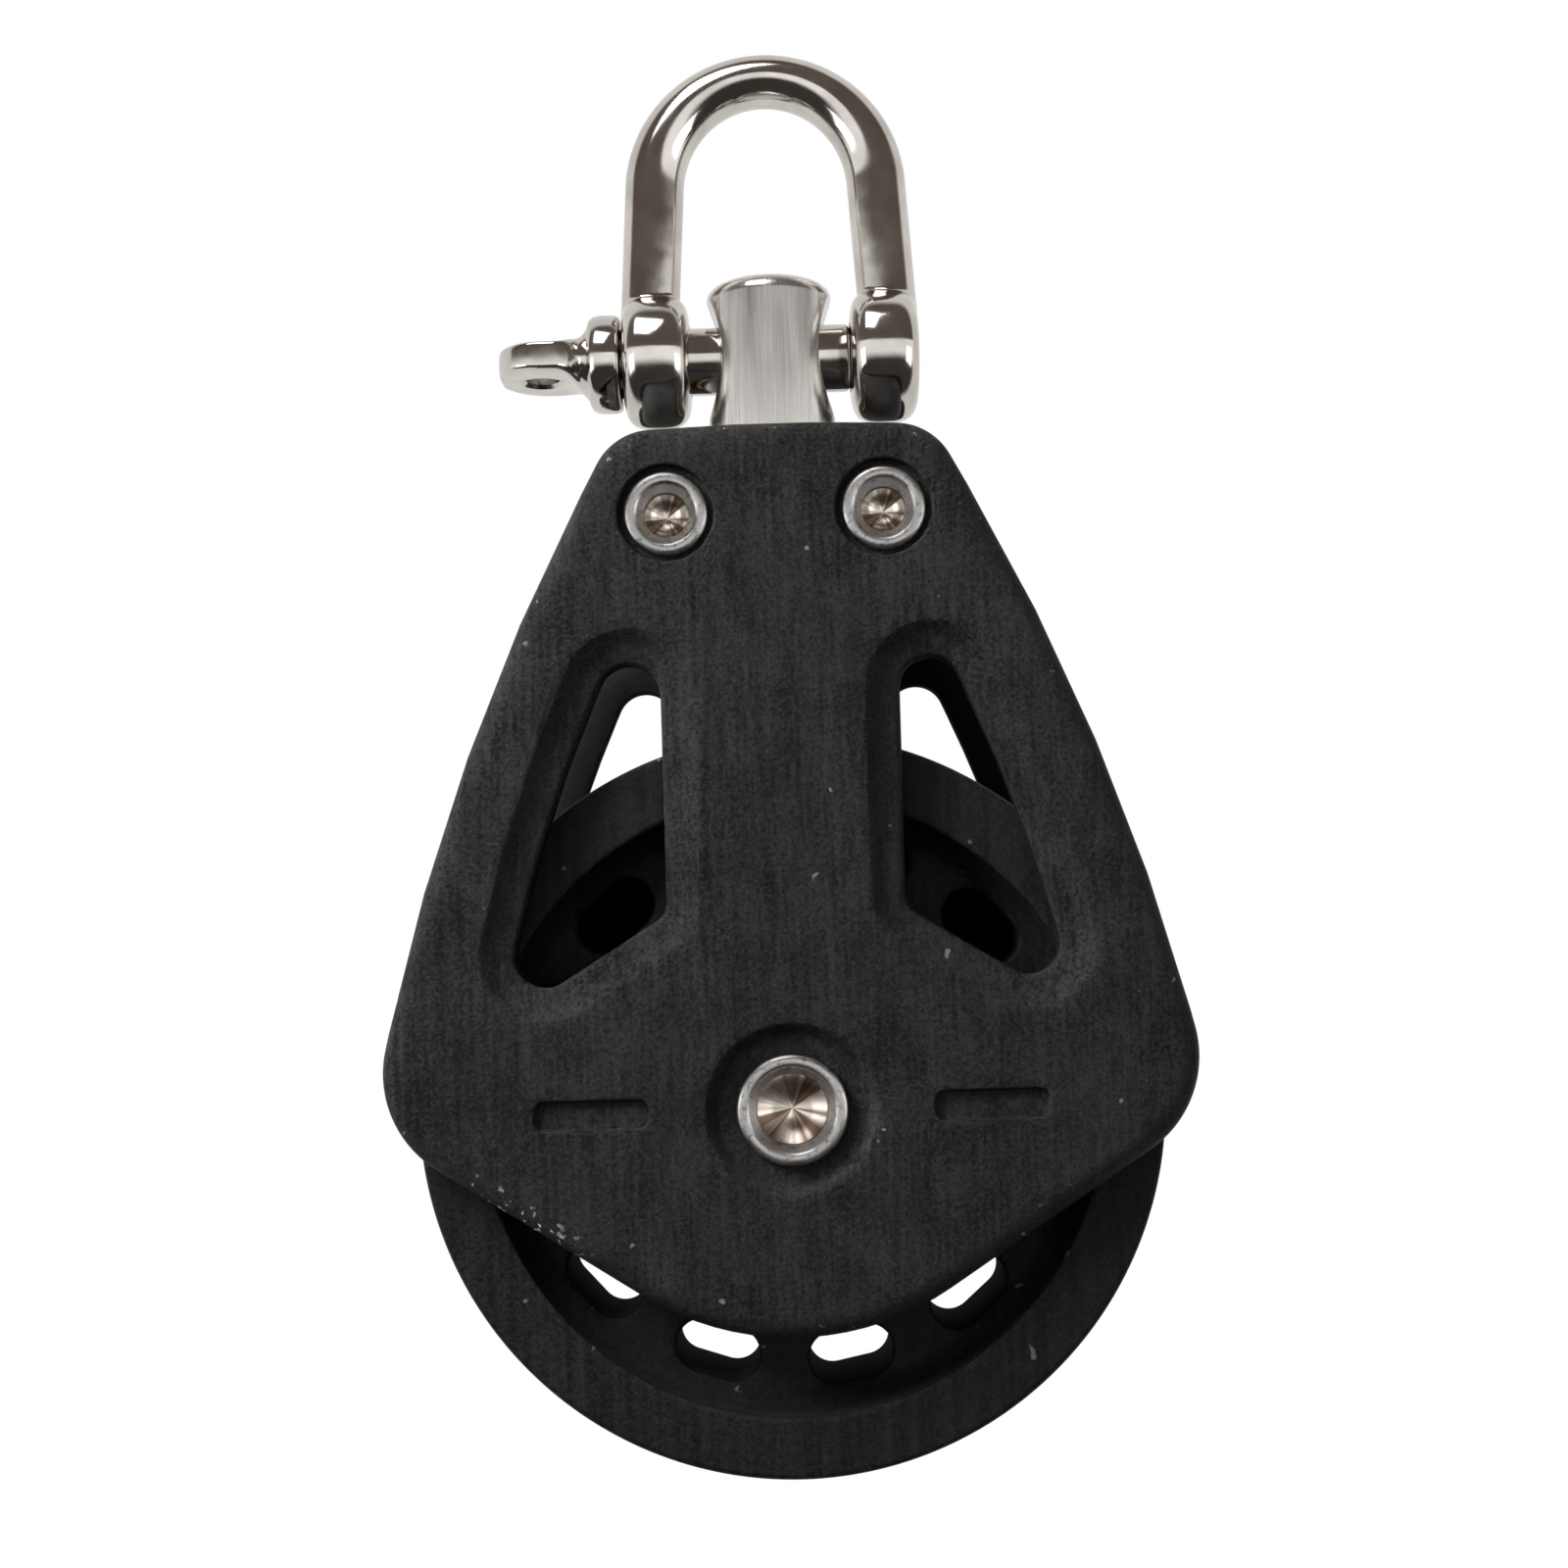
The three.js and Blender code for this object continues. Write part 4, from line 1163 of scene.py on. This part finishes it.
def camera():
    """Square on to the front cheek, a little above the axle, with the block leaning slightly."""
    data = bpy.data.cameras.new("camera")
    data.lens = LENS
    data.sensor_width = SENSOR
    data.shift_x, data.shift_y = CAMERA_SHIFT
    data.clip_start, data.clip_end = 0.01, 20
    view = bpy.data.objects.new("camera", data)
    bpy.context.scene.collection.objects.link(view)
    turn = Matrix.Rotation(pi / 2, 4, "X") @ Matrix.Rotation(LEAN, 4, "Z")
    view.matrix_world = Matrix.Translation(AXLE + Vector(EYE) * MM) @ turn
    bpy.context.scene.camera = view


def softbox(name, where, size, power):
    """A square light aimed at the block."""
    data = bpy.data.lights.new(name, "AREA")
    data.shape = "RECTANGLE"
    data.size = data.size_y = size
    data.energy = power
    light = bpy.data.objects.new(name, data)
    light.visible_camera = False
    bpy.context.scene.collection.objects.link(light)
    light.location = AXLE + Vector(where)
    aim = Vector(LIGHT_AIM) - Vector(where)
    light.rotation_mode = "QUATERNION"
    light.rotation_quaternion = aim.to_track_quat("-Z", "Y")
    return light


def panel(name, corners, strength):
    """A black sheet that glows white."""
    mesh = bpy.data.meshes.new(name)
    mesh.from_pydata([AXLE + Vector(c) for c in corners], [], [(0, 1, 2, 3)])
    piece = bpy.data.objects.new(name, mesh)
    bpy.context.scene.collection.objects.link(piece)
    material = bpy.data.materials.new(name)
    material.use_nodes = True
    shader = material.node_tree.nodes["Principled BSDF"]
    shader.inputs["Base Color"].default_value = (0, 0, 0, 1)
    shader.inputs["Roughness"].default_value = 0.9
    shader.inputs["Specular IOR Level"].default_value = 0
    shader.inputs["Emission Color"].default_value = (1, 1, 1, 1)
    shader.inputs["Emission Strength"].default_value = strength
    mesh.materials.append(material)
    return piece


def surround():
    """Light from all round: pale behind, and ahead bright near the horizon, dim above and below."""
    world = bpy.data.worlds.new("studio")
    world.use_nodes = True
    tree = world.node_tree

    def node(kind, **inputs):
        made = tree.nodes.new(kind)
        for key, value in inputs.items():
            made.inputs[key.replace("_", " ")].default_value = value
        return made

    split = node("ShaderNodeSeparateXYZ")
    tree.links.new(tree.nodes.new("ShaderNodeTexCoord").outputs["Generated"], split.inputs["Vector"])
    ahead = node("ShaderNodeMapRange", From_Min=0.1, From_Max=-0.1)
    above = node("ShaderNodeMapRange", From_Min=0.24, From_Max=0.265)
    below = node("ShaderNodeMapRange", From_Min=-0.1, From_Max=-0.3)
    tree.links.new(split.outputs["Y"], ahead.inputs["Value"])
    tree.links.new(split.outputs["Z"], above.inputs["Value"])
    tree.links.new(split.outputs["Z"], below.inputs["Value"])

    lower = mix_colours(tree, below.outputs["Result"], (1.1, 1.09, 1.07), (0.05, 0.042, 0.038))
    front = mix_colours(tree, above.outputs["Result"], lower, (0.12, 0.098, 0.085))
    whole = mix_colours(tree, ahead.outputs["Result"], (0.8, 0.79, 0.77), front)
    tree.links.new(whole, tree.nodes["Background"].inputs["Color"])
    bpy.context.scene.world = world


def only_seen(piece):
    """The camera sees it, and it lights nothing."""
    piece.visible_diffuse = False
    piece.visible_glossy = False
    piece.visible_transmission = False
    piece.visible_shadow = False


def studio():
    """A white room that only the camera sees, two lights, and a card at each side for the steel."""
    surround()
    bpy.context.scene.view_settings.view_transform = "Standard"
    square = [(-ROOM, -ROOM), (ROOM, -ROOM), (ROOM, ROOM), (-ROOM, ROOM)]
    walls = []
    for a, b in ((3, 2), (0, 1), (0, 3), (1, 2)):
        ends = square[a], square[b]
        walls.append([(*end, FLOOR_Z) for end in ends] + [(*end, ROOM) for end in reversed(ends)])
    walls.append([(*corner, ROOM) for corner in square])
    for number, corners in enumerate(walls):
        only_seen(panel(f"white_wall_{number}", corners, 1.0))
    only_seen(panel("floor", [(*corner, FLOOR_Z) for corner in square], 1.0))
    key = softbox("key", (-0.2, -0.11, 0.19), 0.12, 4.0)
    key.visible_glossy = False
    softbox("high_fill", (-0.12, -0.25, 0.42), 0.24, 0.6)
    low, high = -0.06, 0.09
    for side in (-1, 1):
        near, back = (side * 0.24, -0.26), (side * 0.36, -0.1)
        card = panel(f"side_card_{side}", [(*near, low), (*back, low), (*back, high), (*near, high)], 2.2)
        card.visible_camera = False
        card.visible_diffuse = False
        card.visible_shadow = False


cheek("front_cheek", -1)
cheek("rear_cheek", 1)
head_block()
rivet("left_head_rivet", -RIVET_X, RIVET_Z, HEAD_RIVET_RADIUS, *HEAD_RIVET)
rivet("right_head_rivet", RIVET_X, RIVET_Z, HEAD_RIVET_RADIUS, *HEAD_RIVET)
rivet("axle_rivet", 0, 0, AXLE_RIVET_RADIUS, *AXLE_RIVET)
sheave()
turned_ring("bearing_hub_turned", "bearing_hub", "block_frame", COMPOSITE,
            plain(AXLE_HOLE, HUB_RADIUS, -HUB_HALF_LENGTH, HUB_HALF_LENGTH))
for label, way in (("front", -1), ("rear", 1)):
    ends = sorted((way * HUB_HALF_LENGTH, way * (CHEEK_INNER - PRESSED_DEPTH)))
    turned_ring(label + "_hub_washer_turned", label + "_hub_washer", "block_frame",
                COMPOSITE, plain(AXLE_HOLE, HUB_WASHER_RADIUS, *ends))
    ends = sorted(way * end for end in RETAINER_SPAN)
    turned_ring(label + "_ball_retainer_turned", label + "_ball_retainer", "sheave_wheel",
                COMPOSITE, plain(RETAINER_BORE, RETAINER_RADIUS, *ends))
balls()
swivel_post()
swivel_bush()
swivel_nut()
turned_ring("thrust_washer_turned", "swivel_thrust_washer", "post", BRONZE,
            plain(*THRUST_WASHER), "z")
shackle_bow()
shackle_pin()
camera()
studio()
